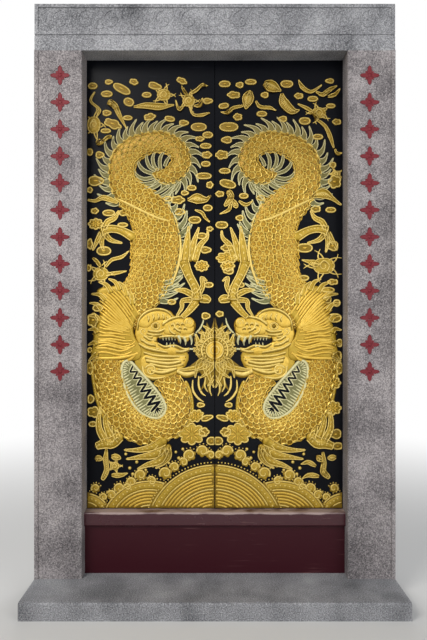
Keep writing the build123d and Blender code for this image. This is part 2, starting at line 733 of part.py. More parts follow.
def make_threshold_board():
    """High timber board under the cap."""
    return block(
        (-half_opening, half_opening),
        (-threshold_board_thickness, 0),
        (floor_z, threshold_top - cap_height),
    )


def make_threshold_cap():
    """Projecting cap of the threshold with rounded front edges."""
    front = -threshold_board_thickness - cap_projection
    cap = block((-half_opening, half_opening), (front, 0), (threshold_top - cap_height, threshold_top))
    return fillet(cap.edges().filter_by(Axis.X).group_by(Axis.Y)[0], cap_rounding)


def make_pillow_stone():
    """Right pillow stone with the recess of the pivot cup."""
    stone = block((pivot_x - pillow_side_margin, rebate_x), (0, pillow_depth), (floor_z, pillow_top))
    return stone - upright(cup_radius + seat_clearance, cup_foot, pillow_top, pivot_x)


def make_pivot_cup():
    """Right iron cup that the pivot shoe turns in."""
    cup = upright(cup_radius, cup_foot, pillow_top, pivot_x)
    return cup - upright(shoe_radius + running_clearance, cup_foot + cup_floor, pillow_top, pivot_x)


def make_head_beam():
    """Timber beam behind the lintel with the holes of the upper pivots."""
    end = rebate_x + head_beam_bearing
    beam = block((-end, end), (0, jamb_back_depth), (beam_foot, beam_top))
    for side in (-1, 1):
        hole_radius = ferrule_radius + running_clearance
        beam = beam - upright(hole_radius, beam_foot, beam_top, side * pivot_x)
    return beam


def make_head_cramps():
    """Iron angle cramps between the lintel's back and the beam's top."""
    cramps = []
    for index in range(cramp_count):
        centre = (index - (cramp_count - 1) / 2) * cramp_spacing
        sides = (centre - cramp_width / 2, centre + cramp_width / 2)
        wing = block(sides, (0, cramp_thickness), (beam_top, beam_top + cramp_rise))
        foot = block(sides, (0, cramp_reach), (beam_top, beam_top + cramp_thickness))
        cramps.append(wing + foot)
    return cramps


def make_pivot_stile():
    """Left pivot stile with half-round heel and turned pivots."""
    centre = -pivot_x
    plank = block((centre, -stile_inner), (leaf_front, leaf_back), (leaf_foot, leaf_head))
    heel = upright(leaf_thickness / 2, leaf_foot, leaf_head, centre)
    foot_tenon = upright(shoe_radius - shoe_wall, shoe_foot + cup_floor, leaf_foot, centre)
    head_tenon = upright(head_tenon_radius, leaf_head, beam_top - head_tenon_recess, centre)
    return plank + heel + foot_tenon + head_tenon


def make_pivot_shoe():
    """Left iron shoe on the lower pivot."""
    shoe = upright(shoe_radius, shoe_foot, shoe_foot + shoe_length, -pivot_x)
    hollow = upright(shoe_radius - shoe_wall, shoe_foot + cup_floor, shoe_foot + shoe_length, -pivot_x)
    return shoe - hollow


def make_top_ferrule():
    """Left iron ferrule on the upper pivot."""
    head = beam_top - head_tenon_recess
    ring = upright(ferrule_radius, beam_foot, head, -pivot_x)
    return ring - upright(head_tenon_radius, beam_foot, head, -pivot_x)


def make_meeting_stile():
    """Left stile at the middle of the doorway."""
    return block((-meeting_inner, -meeting_clearance), (leaf_front, leaf_back), (leaf_foot, leaf_head))


def make_boards():
    """Boards of the left leaf, from the pivot stile to the meeting stile."""
    width = (stile_inner - meeting_inner) / boards_per_leaf
    boards = []
    for index in range(boards_per_leaf):
        start = -stile_inner + index * width
        boards.append(block(
            (start, start + width),
            (leaf_front, leaf_front + board_thickness),
            (leaf_foot, leaf_head),
        ))
    return boards


def ledge_levels():
    """Centre heights of the ledges."""
    first = leaf_foot + ledge_end_distance
    last = leaf_head - ledge_end_distance
    return [first + index * (last - first) / (ledge_count - 1) for index in range(ledge_count)]


def make_ledges():
    """Ledges across the back of the left leaf, between its stiles."""
    back = leaf_front + board_thickness
    ledges = []
    for level in ledge_levels():
        ledges.append(block(
            (-stile_inner, -meeting_inner),
            (back, back + ledge_thickness),
            (level - ledge_height / 2, level + ledge_height / 2),
        ))
    return ledges


def bar_level():
    """Centre height of the bar, midway between the second and third ledges."""
    levels = ledge_levels()
    return (levels[1] + levels[2]) / 2


def make_keeper(start, base):
    """Timber keeper that stands on the given face and holds the bar."""
    level = bar_level()
    slot_half = bar_height / 2 + bar_clearance
    slot_back = leaf_back + bar_depth + 2 * bar_clearance
    outer_half = slot_half + keeper_cheek
    body = block(
        (start, start + keeper_width),
        (base, slot_back + keeper_front),
        (level - outer_half, level + outer_half),
    )
    slot = block(
        (start, start + keeper_width),
        (leaf_back, slot_back),
        (level - slot_half, level + slot_half),
    )
    return body - slot


def make_left_keepers():
    """Two keepers of the left leaf, on the meeting stile and on a board."""
    stile_keeper = make_keeper(-meeting_clearance - keeper_inset - keeper_width, leaf_back)
    inner_start = -inner_keeper_distance - keeper_width
    return [stile_keeper, make_keeper(inner_start, leaf_front + board_thickness)]


def make_bar():
    """Sliding bar, drawn back behind the left leaf."""
    level = bar_level()
    end = -meeting_clearance - bar_end_setback
    front = leaf_back + bar_clearance
    return block(
        (end - bar_length, end),
        (front, front + bar_depth),
        (level - bar_height / 2, level + bar_height / 2),
    )


def make_leaf_timber():
    """Nodes of the left leaf without its relief and its keepers."""
    nodes = {
        "pivot_stile": [make_pivot_stile()],
        "meeting_stile": [make_meeting_stile()],
        "back_ledges": make_ledges(),
        "pivot_shoe": [make_pivot_shoe()],
        "top_ferrule": [make_top_ferrule()],
    }
    for number, board in enumerate(make_boards(), start=1):
        nodes["board_" + str(number)] = [board]
    return nodes


def make_door():
    """Every node of the door with the solids that it holds."""
    jamb = make_jamb()
    pillow = make_pillow_stone()
    cup = make_pivot_cup()
    nodes = {
        "sill_stone": [make_sill()],
        "lintel_stone": [make_lintel()],
        "right_jamb_stone": [jamb],
        "left_jamb_stone": flipped([jamb]),
        "threshold_board": [make_threshold_board()],
        "threshold_cap": [make_threshold_cap()],
        "right_pillow_stone": [pillow],
        "left_pillow_stone": flipped([pillow]),
        "pivot_cups": [cup] + flipped([cup]),
        "head_socket_beam": [make_head_beam()],
        "head_cramps": make_head_cramps(),
        "left_bar_keepers": make_left_keepers(),
        "right_bar_keeper": [make_keeper(meeting_clearance + keeper_inset, leaf_back)],
        "bar": [make_bar()],
    }

    shared, covered = dragon_relief()
    sea, covered = sea_relief(covered)
    shared_clouds = [lobed_face(*cloud) for cloud in SHARED_CLOUDS]
    shared_cloud_area = trimmed(shared_clouds, covered)
    covered = covered + shared_cloud_area
    shared_cloud_solids = raised(shared_cloud_area, cloud_relief)
    left_own = scattered_relief(LEFT_STROKES, LEFT_LOBES, LEFT_CLOUDS, covered, False)
    right_own = scattered_relief(RIGHT_STROKES, RIGHT_LOBES, RIGHT_CLOUDS, covered, True)
    left_own["clouds"].extend(shared_cloud_solids)
    right_own["clouds"].extend(shared_cloud_solids)

    both_leaves = {**make_leaf_timber(), **shared, **sea}
    for name, solids in {**both_leaves, **left_own}.items():
        nodes["left_" + name] = solids
    for name, solids in {**both_leaves, **right_own}.items():
        nodes["right_" + name] = flipped(solids)
    return nodes


def main():
    """Build the door and write one file for each node."""
    os.makedirs("parts", exist_ok=True)
    for name, shapes in make_door().items():
        solids = [solid for shape in shapes for solid in shape.solids()]
        export_step(Compound(children=solids), "parts/" + name + ".step")


main()
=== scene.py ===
import logging
import math
import random
from dataclasses import dataclass, field
from enum import Enum
from typing import Any, Callable, Dict, List, Optional, Sequence, Tuple, Union

import bmesh
import bpy
import numpy as np
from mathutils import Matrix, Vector
from mathutils.geometry import delaunay_2d_cdt


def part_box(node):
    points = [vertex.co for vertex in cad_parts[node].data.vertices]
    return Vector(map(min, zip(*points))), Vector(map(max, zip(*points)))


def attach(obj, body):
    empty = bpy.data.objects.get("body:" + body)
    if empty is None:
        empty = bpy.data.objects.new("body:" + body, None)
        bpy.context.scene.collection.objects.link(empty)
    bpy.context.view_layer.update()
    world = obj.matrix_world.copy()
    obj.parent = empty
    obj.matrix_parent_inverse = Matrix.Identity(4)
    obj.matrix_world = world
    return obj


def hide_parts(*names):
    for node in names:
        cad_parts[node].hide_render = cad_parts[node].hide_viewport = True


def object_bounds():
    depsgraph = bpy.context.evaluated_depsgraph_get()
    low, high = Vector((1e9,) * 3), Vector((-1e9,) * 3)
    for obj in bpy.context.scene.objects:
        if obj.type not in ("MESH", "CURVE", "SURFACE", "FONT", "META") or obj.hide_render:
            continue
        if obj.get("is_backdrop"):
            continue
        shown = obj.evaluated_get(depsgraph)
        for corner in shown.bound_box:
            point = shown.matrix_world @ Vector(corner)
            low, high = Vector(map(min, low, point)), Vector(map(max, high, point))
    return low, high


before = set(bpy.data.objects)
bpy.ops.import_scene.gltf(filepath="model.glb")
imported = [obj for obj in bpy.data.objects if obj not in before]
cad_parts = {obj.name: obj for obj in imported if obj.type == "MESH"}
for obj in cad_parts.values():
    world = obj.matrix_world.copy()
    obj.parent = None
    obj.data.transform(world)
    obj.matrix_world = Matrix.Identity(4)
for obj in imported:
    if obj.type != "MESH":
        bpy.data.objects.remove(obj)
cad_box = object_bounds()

log = logging.getLogger("carved_temple_door")

Piece = bpy.types.Object
Material = bpy.types.Material
Socket = bpy.types.NodeSocket
Triple = Tuple[float, float, float]
Station = Triple
Stroke = List[Station]
Colour = Triple
Copy = Tuple[Vector, Vector, Vector, Vector]
Number = Union[float, "Value"]
Inputs = Optional[Dict[Any, Any]]

TO_FRONT = Vector((0.0, -1.0, 0.0))
TO_RIGHT = Vector((1.0, 0.0, 0.0))

# The carver's drawing: columns and rows of the left leaf, one step being 6.25 mm
MEETING_COLUMN = 215.0
THRESHOLD_ROW = 508.5
STEP = 0.8 / 128.0
LEFT_LIMIT = 87.7
RIGHT_LIMIT = 214.6
TOP_LIMIT = 61.0
FOOT_LIMIT = 507.8

# Course of the dragon's upper body from tail tip to mane: column, row, width
UPPER_COURSE = [
    (155, 172, 6), (165, 177, 14), (176, 172, 18), (182, 160, 18), (176, 148, 19), (163, 142, 20),
    (148, 143, 21), (134, 149, 24), (124, 160, 25), (122, 175, 26), (126, 188, 28), (138, 201, 34),
    (150, 214, 40), (156, 230, 44), (156, 248, 48), (154, 265, 44), (150, 280, 40), (142, 293, 38),
    (130, 306, 37), (118, 321, 35), (108, 340, 31),
]

# Course of the lower loop from mane to jaw
LOWER_COURSE = [
    (107, 352, 27), (108, 366, 27), (110, 380, 28), (116, 400, 31), (128, 420, 32), (150, 431, 27),
    (168, 425, 25), (177, 415, 24), (178, 400, 23), (172, 385, 23), (164, 376, 22),
]

# Stretches of the courses that carry a crest, counted in points of the course
COIL_CREST = (0.7, 10.7)
TRUNK_CREST = (12, 17)
LOOP_OUTER_CREST = (0.7, 4)
LOOP_RISING_CREST = (6, 9)

# Eye of the lower loop, filled by the belly crest
BELLY_WINDOW = [
    (130, 361), (139, 370), (150, 382), (158, 392), (164, 401), (166, 410), (160, 417), (150, 417),
    (140, 411), (131, 400), (125, 386), (122, 372), (124, 363),
]
BELLY_AXIS = ((131, 367), (157, 408))

# Head: outlines of mane, face, snout and jaw, places of the eye and the cheek's curl, and strands
MANE = [
    (100, 299), (97, 291), (103, 287), (112, 286), (122, 285), (130, 298), (141, 312), (136, 320),
    (134, 331), (137, 339), (142, 348), (140, 360), (121, 360), (93, 358), (93, 346), (94, 335), (97, 325),
    (102, 315), (108, 306),
]
FACE = [
    (137, 325), (139, 318), (145, 313), (153, 310), (163, 309), (171, 311), (176, 316), (192, 318),
    (196, 324), (195, 331), (192, 337), (186, 343), (184, 338), (179, 343), (176, 338), (160, 337),
    (158, 342), (165, 346), (172, 344), (181, 349), (190, 348), (184, 353), (172, 355), (158, 353),
    (146, 351), (139, 344), (135, 334),
]
SNOUT = [(164, 319), (178, 318), (191, 320), (195, 326), (192, 334), (178, 335), (165, 334), (161, 326)]
JAW = [
    (148, 354), (160, 356), (173, 357), (184, 355), (187, 359), (185, 366), (180, 372), (171, 376),
    (160, 379), (150, 377), (143, 371), (140, 363), (142, 357),
]
EYE = (156, 326)
CHEEK_SPIRAL = (151, 370)
MANE_STRANDS = [
    [(101, 291, 3), (114, 303, 4), (126, 317, 4), (133, 328, 2)],
    [(112, 288, 3), (122, 299, 4), (130, 310, 4), (136, 319, 2)],
    [(97, 325, 3), (108, 329, 4), (121, 333, 4), (132, 332, 2)],
    [(95, 337, 3), (109, 340, 4), (123, 341, 4), (134, 338, 2)],
    [(95, 350, 3), (110, 349, 4), (124, 349, 4), (139, 345, 2)],
]
JAW_STRANDS = [
    [(147, 360, 3), (158, 362, 3), (170, 363, 3), (181, 361, 2)],
    [(152, 370, 3), (160, 372, 3), (168, 371, 3), (177, 368, 2)],
]

# Legs, fingers and flame tufts
CLAWS = [
    [(133, 237, 9), (122, 231, 7), (112, 229, 7), (103, 231, 8)],
    [(104, 230, 5), (108, 222, 5), (115, 218, 4), (119, 211, 1)],
    [(102, 233, 5), (98, 240, 4), (93, 250, 1)], [(104, 234, 5), (102, 242, 4), (104, 252, 1)],
    [(105, 233, 5), (111, 240, 4), (122, 243, 1)],
    [(184, 262, 10), (189, 275, 8), (196, 289, 8), (197, 299, 10)],
    [(199, 294, 5), (203, 286, 4), (202, 278, 3), (207, 281, 1)],
    [(200, 299, 6), (206, 299, 8), (210, 301, 4)], [(194, 296, 5), (185, 291, 5), (175, 290, 1)],
    [(193, 300, 5), (183, 301, 4), (182, 308, 3), (177, 316, 1)],
    [(196, 302, 8), (190, 310, 6), (183, 317, 4)], [(185, 262, 8), (187, 247, 7), (189, 227, 1)],
    [(190, 260, 6), (194, 243, 5), (199, 228, 1)],
    [(195, 260, 6), (200, 246, 5), (207, 238, 3), (208, 231, 1)],
    [(120, 436, 10), (113, 442, 11), (106, 443, 10), (97, 446, 6)],
    [(106, 440, 7), (100, 430, 6), (99, 418, 4), (101, 407, 1)],
    [(112, 438, 7), (107, 427, 5), (106, 418, 4), (111, 411, 1)],
    [(118, 437, 6), (115, 428, 5), (116, 417, 1)],
    [(164, 440, 10), (152, 447, 7), (138, 450, 4), (125, 450, 1)],
    [(164, 445, 9), (155, 454, 8), (140, 457, 4), (127, 459, 1)],
    [(166, 447, 8), (160, 460, 7), (147, 465, 4), (138, 469, 1)],
    [(168, 446, 6), (169, 456, 5), (164, 463, 3), (156, 468, 1)],
]

# Half of the flaming pearl
PEARL = (215, 350, 12)
PEARL_FLAME = [
    (215, 317), (213, 324), (211, 330), (207, 322), (205, 333), (201, 328), (200, 340), (194, 337),
    (196, 348), (192, 347), (199, 359), (190, 366), (180, 370), (177, 374), (188, 376), (200, 372),
    (205, 380), (200, 392), (207, 384), (209, 394), (212, 383), (215, 388),
]

# Clouds that both leaves share: column, row, width, height, tilt in degrees
SHARED_CLOUDS = [
    (196, 416, 15, 11, 20), (207, 418, 12, 5, 15), (192, 434, 25, 20, 0), (204, 432, 10, 8, 0),
    (212, 441, 9, 8, 0), (201, 405, 7, 4, 0), (202, 266, 13, 10, 0), (90, 368, 7, 12, 0),
]
LEFT_CLOUDS = [
    (93, 86, 8, 6, 0), (109, 82, 7, 4, 0), (122, 89, 17, 8, -28), (134, 82, 8, 5, -15), (107, 94, 10, 6, 0),
    (155, 86, 13, 6, -15), (147, 95, 8, 5, 0), (182, 81, 10, 5, -25), (129, 102, 9, 8, -20),
    (107, 113, 8, 5, 0), (128, 118, 8, 4, 0), (150, 117, 11, 6, 10), (170, 119, 9, 5, -10),
    (184, 123, 9, 5, 0), (199, 127, 14, 8, 0), (113, 124, 17, 8, -22), (106, 131, 9, 4, 0),
    (208, 101, 9, 5, 0), (208, 135, 9, 6, 0), (200, 139, 8, 4, 0), (206, 146, 10, 5, 0), (100, 155, 8, 6, 0),
    (90, 152, 5, 7, 0), (207, 155, 9, 6, 0), (206, 164, 8, 5, 0), (96, 181, 15, 9, 0), (204, 176, 14, 6, 0),
    (210, 185, 6, 6, 0), (192, 188, 8, 5, 0), (185, 193, 7, 4, 0), (168, 199, 8, 5, 0), (178, 200, 13, 7, 0),
    (208, 208, 8, 6, 0), (180, 212, 10, 6, 0), (195, 220, 11, 7, 0), (95, 211, 7, 5, 0),
    (109, 213, 11, 6, 0), (124, 213, 9, 5, 0), (123, 225, 9, 4, 0), (90, 190, 5, 5, 0), (96, 224, 14, 10, 0),
    (206, 250, 10, 6, 0), (202, 236, 9, 6, 0), (210, 229, 6, 4, 0), (209, 285, 8, 5, 0), (89, 268, 4, 6, 0),
    (98, 308, 9, 7, 0), (93, 320, 10, 13, 0), (90, 350, 4, 5, 0), (206, 316, 8, 6, 0), (172, 302, 7, 5, 0),
    (94, 412, 12, 10, 0), (93, 424, 7, 5, 0), (91, 399, 6, 8, 0), (104, 251, 13, 9, 0), (90, 244, 5, 10, 0),
]
RIGHT_CLOUDS = [
    (225, 84, 10, 6, 0), (240, 85, 7, 5, 0), (251, 82, 10, 5, 0), (234, 95, 12, 6, 0), (224, 106, 9, 5, 10),
    (265, 95, 7, 5, 0), (287, 84, 11, 7, 0), (299, 96, 8, 5, 0), (313, 99, 9, 5, 0), (330, 81, 8, 4, 0),
    (331, 106, 8, 4, 0), (238, 117, 8, 6, 0), (262, 114, 9, 5, 0), (283, 119, 8, 5, 0), (305, 121, 10, 7, 0),
    (337, 122, 8, 5, 0), (229, 127, 17, 9, 0), (227, 140, 10, 6, 0), (318, 137, 9, 5, 0),
    (222, 155, 12, 8, 0), (225, 171, 10, 5, 0), (333, 165, 6, 5, 0), (228, 184, 15, 8, -15),
    (220, 194, 8, 5, 0), (244, 196, 8, 5, 0), (261, 198, 8, 5, 0), (305, 208, 8, 5, 0), (316, 209, 9, 6, 0),
    (331, 210, 9, 5, 0), (240, 218, 7, 5, 0), (222, 225, 11, 7, 0), (227, 248, 11, 6, 0),
    (227, 258, 20, 11, 0), (229, 271, 10, 6, 0), (241, 285, 6, 5, 0), (333, 282, 10, 5, 0),
    (304, 278, 9, 5, 0), (327, 300, 9, 6, 0), (337, 303, 6, 7, 0), (220, 314, 7, 5, 0), (335, 318, 12, 9, 0),
    (337, 356, 10, 9, 0), (340, 343, 5, 8, 0), (333, 383, 15, 12, 0), (333, 408, 16, 13, 0),
    (336, 434, 11, 9, 0), (338, 446, 9, 7, 0), (335, 182, 12, 12, 0), (328, 290, 12, 5, 0),
    (333, 246, 11, 9, 0), (305, 248, 14, 9, 0),
]

# Sea creatures as strokes, then as lobed shapes
LEFT_STROKES = [
    [(95, 92, 2), (91, 101, 2), (100, 110, 2), (97, 117, 2)],
    [(108, 103, 9), (115, 106, 6), (120, 116, 4), (127, 129, 1)],
    [(97, 144, 7), (102, 143, 3), (108, 138, 3), (113, 138, 2)],
    [(134, 107, 4), (146, 106, 6), (160, 107, 7), (174, 105, 3)],
    [(189, 95, 3), (196, 91, 3), (202, 86, 2), (208, 86, 1)], [(188, 96, 3), (184, 92, 2), (182, 86, 1)],
    [(184, 106, 3), (179, 110, 2), (176, 100, 1)],
    [(190, 107, 3), (194, 115, 2), (203, 115, 3), (210, 113, 1)],
    [(194, 106, 2), (200, 106, 3), (203, 101, 1)],
    [(188, 200, 6), (197, 199, 11), (206, 200, 5), (211, 196, 2)],
    [(195, 210, 2), (202, 213, 3), (206, 219, 2), (210, 223, 1)],
    [(88, 200, 3), (96, 201, 3), (104, 198, 5), (118, 203, 8)], [(93, 258, 3), (98, 262, 3), (101, 267, 4)],
    [(106, 267, 4), (112, 260, 3), (122, 257, 3), (129, 251, 1)],
    [(109, 274, 4), (117, 273, 3), (127, 271, 1)],
    [(107, 448, 4), (106, 459, 5), (107, 470, 5), (103, 479, 9)], [(96, 457, 7), (103, 459, 4)],
    [(112, 456, 7), (121, 458, 5)], [(112, 475, 6), (121, 475, 4), (128, 473, 1)],
]
LEFT_LOBES = [(94, 125, 12, 18), (164, 95, 12, 12), (189, 101, 11, 12), (101, 274, 14, 14), (115, 466, 8, 8)]
RIGHT_STROKES = [
    [(250, 92, 9), (248, 100, 12), (246, 109, 5)],
    [(244, 106, 4), (234, 108, 3), (228, 113, 3), (221, 112, 1)],
    [(256, 101, 3), (260, 107, 3), (270, 108, 3), (276, 111, 1)],
    [(264, 85, 10), (272, 87, 12), (281, 91, 4)],
    [(282, 94, 7), (284, 103, 10), (292, 111, 8), (299, 111, 3)],
    [(299, 80, 1), (302, 87, 4), (311, 92, 3), (322, 85, 2)],
    [(316, 92, 3), (323, 95, 4), (330, 90, 4), (337, 86, 2)], [(328, 97, 4), (335, 95, 3), (339, 91, 1)],
    [(298, 104, 2), (306, 108, 3), (313, 113, 3), (315, 118, 3)],
    [(316, 119, 4), (325, 126, 3), (330, 136, 4), (334, 148, 3)],
    [(335, 149, 2), (337, 154, 2), (341, 155, 1)], [(228, 191, 9), (231, 198, 6), (225, 206, 7)],
    [(233, 200, 4), (237, 208, 6)], [(239, 201, 3), (246, 205, 3), (253, 201, 1)],
    [(231, 204, 3), (229, 210, 3), (220, 214, 1)],
    [(312, 197, 9), (323, 194, 11), (333, 199, 4), (341, 205, 4)],
    [(302, 260, 1), (310, 262, 4), (318, 265, 12)],
    [(323, 452, 5), (324, 463, 5), (323, 471, 6), (329, 477, 10)], [(317, 456, 7), (322, 460, 4)],
    [(336, 457, 6), (328, 458, 5)], [(319, 476, 6), (309, 475, 4), (302, 478, 1)],
    [(316, 466, 5), (308, 462, 4), (301, 464, 1)],
]
RIGHT_LOBES = [(319, 113, 13, 11), (324, 266, 20, 17), (336, 174, 8, 6)]

# Foam curls and spray drops above the waves: column, row, size
FOAM_CURLS = [
    (190, 455, 12), (203, 451, 12), (211, 455, 9), (166, 473, 13), (175, 467, 10), (184, 462, 9),
    (141, 475, 12), (132, 482, 10), (152, 481, 10), (120, 488, 11), (128, 487, 8), (112, 495, 10),
    (96, 488, 9), (104, 497, 8),
]
SPRAY_DROPS = [
    (126, 454), (137, 462), (130, 468), (146, 470), (153, 466), (169, 463), (176, 452), (179, 458),
    (183, 449), (133, 474),
]

# Wave mounds from the middle outwards: centre column, centre row, radius
WAVE_MOUNDS = [(215, 533.5, 66.5), (150, 530, 47), (84, 522, 27)]

# Locks above and below the drawn strands of the mane, and one under the jaw
CROWN_LOCK = [(123, 286, 3), (130, 296, 4), (137, 306, 4), (142, 313, 2)]
NAPE_LOCK = [(96, 358, 3), (110, 358, 4), (124, 357, 4), (139, 353, 2)]
CHIN_LOCK = [(108, 361, 2), (120, 361.5, 3.4), (131, 359, 3.4), (138, 352, 2)]

# Tips of the mane: where each starts and where it ends
MANE_TIPS = [
    (112, 292, 99, 282), (106, 300, 92, 294), (102, 310, 90, 303), (99, 320, 89, 316), (98, 332, 88.6, 330),
    (97, 344, 88.6, 345), (98, 354, 89, 361), (120, 290, 109, 279), (127, 296, 119, 282),
    (133, 304, 128, 290),
]

# Brow and throat of the head
BROW = [
    (139, 326), (140, 318), (146, 312), (155, 309), (165, 310), (172, 315), (171, 321), (163, 320),
    (155, 322), (148, 328),
]
THROAT = [
    (137, 340), (150, 346), (166, 350), (183, 350), (189, 355), (186, 366), (172, 376), (152, 379),
    (139, 374), (134, 356),
]

# Lines of the face, and those of the throat and beard
FACE_LINES = [
    [(138, 329, 1.6), (140, 319, 2.2), (147, 312, 2.4), (157, 309, 2.4), (167, 311, 2.2), (173, 317, 1.4)],
    [(148, 330, 1.4), (153, 331, 1.8), (160, 331, 1.8), (166, 328, 1.2)],
    [(147, 333, 1.2), (154, 334.5, 1.6), (162, 334, 1.2)],
    [(163, 324, 2), (170, 319, 2.6), (178, 317, 2.6), (185, 316, 1.6)],
    [(174, 322, 1.6), (176, 328, 2), (181, 331, 1.6)], [(169, 325, 1.4), (171, 331, 1.8), (176, 334, 1.4)],
    [(159, 337, 1.6), (168, 336, 2.2), (178, 336, 2.2), (187, 337, 2.4), (194, 333, 1.6)],
    [(158, 343, 1.6), (165, 346.5, 2.4), (175, 345.5, 2.4), (184, 349, 2.4), (190, 348, 1.6)],
    [(144, 335, 1.6), (150, 339, 2.2), (157, 340, 1.4)], [(141, 338, 1.6), (148, 343, 2.2), (156, 345, 1.4)],
    [(139, 343, 1.6), (147, 347.5, 2.2), (157, 350, 2.2), (168, 352, 1.4)],
    [(176, 351, 1.6), (183, 351, 2), (189, 349.5, 1.4)],
]
BEARD_LINES = [
    [(144, 352, 1.6), (155, 355, 2.2), (169, 356, 2.2), (186, 356, 1.2)],
    [(145, 356.5, 1.6), (156, 359, 2.2), (170, 359.5, 2.2), (185, 359, 1.2)],
    [(150, 363, 1.8), (160, 365.6, 2.4), (171, 366.4, 2.2), (184, 363.5, 1.2)],
    [(158, 369, 1.6), (166, 369.5, 2.2), (176, 368, 1.2)],
    [(143, 366, 1.8), (145, 374, 2.4), (154, 378, 2.4), (166, 376.6, 1.4)],
    [(178, 371, 4), (186, 374, 5.4), (195, 372, 4), (201, 367, 1)],
]

# Large teeth of the upper jaw, and the whiskers
FANGS = [
    [(179, 336, 3.4), (180.5, 340, 2.4), (180.6, 344, 0.7)],
    [(184.5, 337, 3.6), (186, 341.5, 2.6), (185.6, 345.6, 0.7)],
    [(190.5, 336, 3.4), (192, 341, 2.4), (191.4, 345, 0.7)],
    [(195, 334, 2.4), (197.4, 339, 2.2), (198.6, 345, 0.7)],
]
WHISKERS = [
    [(196, 333, 1.6), (200, 329, 2.2), (203, 323, 1.8), (204, 318, 0.9)],
    [(187, 349, 2.0), (196, 349.5, 2.0), (204, 354, 1.6), (209, 361, 0.8)],
]

# Rays of the tail, ridges beside the trunk and flames of the crest
TAIL_RAYS = [
    [(147, 153, 1), (147, 160, 3), (150, 167, 3.4), (156, 171, 3)],
    [(155, 152, 1), (153, 158, 3), (154, 165, 3.4), (158, 171, 3)],
    [(165, 151, 1), (161, 157, 3), (160, 163, 3.4), (161, 170, 3)],
    [(171, 155, 1), (167, 161, 3), (165, 166, 3)],
    [(138, 160, 1), (140, 166, 3), (145, 171, 3.6), (153, 174, 3)],
    [(134, 171, 1), (139, 177, 3), (146, 179, 3.6), (155, 177, 3)],
    [(135, 182, 1), (143, 184, 3), (152, 183, 3.6), (159, 179, 3)],
    [(141, 190, 1), (150, 189, 3), (157, 186, 3.6), (163, 181, 3)],
    [(149, 197, 1), (160, 192, 3), (169, 186, 3)], [(156, 199, 1), (166, 194, 3), (174, 187, 2.6)],
    [(168, 195, 1), (175, 189, 3), (179, 183, 2)],
]
RIDGES = [
    [(118, 199, 2), (132, 206, 3), (146, 213, 3), (160, 219, 3), (173, 222, 2)],
    [(180, 235, 2), (181, 250, 3), (178, 268, 3), (172, 285, 2)],
]
CREST_FLAMES = [
    [(176, 222, 4), (171, 213, 3), (169, 202, 0.8)], [(180, 228, 4), (185, 221, 3), (187, 211, 0.8)],
    [(183, 233, 4), (187, 229, 3), (190, 222, 0.8)], [(165, 283, 3), (172, 281, 2.6), (181, 276, 0.8)],
    [(162, 289, 3), (170, 288, 2.6), (179, 284, 0.8)], [(158, 296, 3), (168, 296, 2.6), (178, 292, 0.8)],
]

# Tendrils under the pearl
TENDRILS = [
    [(193, 380, 1.2), (193, 390, 2.4), (198, 398, 2.4), (204, 402, 0.9)],
    [(199, 376, 1.4), (199, 386, 2.4), (202, 393, 2.2), (206, 396, 0.9)],
    [(206, 377, 1.4), (205, 386, 2.2), (208, 392, 0.9)], [(211, 381, 1.4), (210, 390, 2.0), (212, 396, 0.8)],
]


class Value:
    """A number socket of a node graph that takes part in arithmetic."""

    def __init__(self, graph: "Graph", socket: Socket) -> None:
        """Wrap a socket of a graph."""
        self.graph = graph
        self.socket = socket

    def _math(self, operation: str, first: Number, second: Number) -> "Value":
        """Add one Math node and return its result."""
        return self.graph.value("ShaderNodeMath", {"operation": operation}, {0: first, 1: second})

    def __add__(self, other: Number) -> "Value":
        """Sum."""
        return self._math("ADD", self, other)

    __radd__ = __add__

    def __mul__(self, other: Number) -> "Value":
        """Product."""
        return self._math("MULTIPLY", self, other)

    __rmul__ = __mul__

    def __sub__(self, other: Number) -> "Value":
        """Difference."""
        return self._math("SUBTRACT", self, other)

    def __rsub__(self, other: Number) -> "Value":
        """Difference from a number."""
        return self._math("SUBTRACT", other, self)

    def __pow__(self, other: Number) -> "Value":
        """Power."""
        return self._math("POWER", self, other)

    def between(self, low: float, high: float) -> "Value":
        """Smooth step from 0 at low to 1 at high."""
        settings = {"interpolation_type": "SMOOTHSTEP"}
        return self.graph.value("ShaderNodeMapRange", settings, {0: self, 1: low, 2: high, 3: 0.0, 4: 1.0})


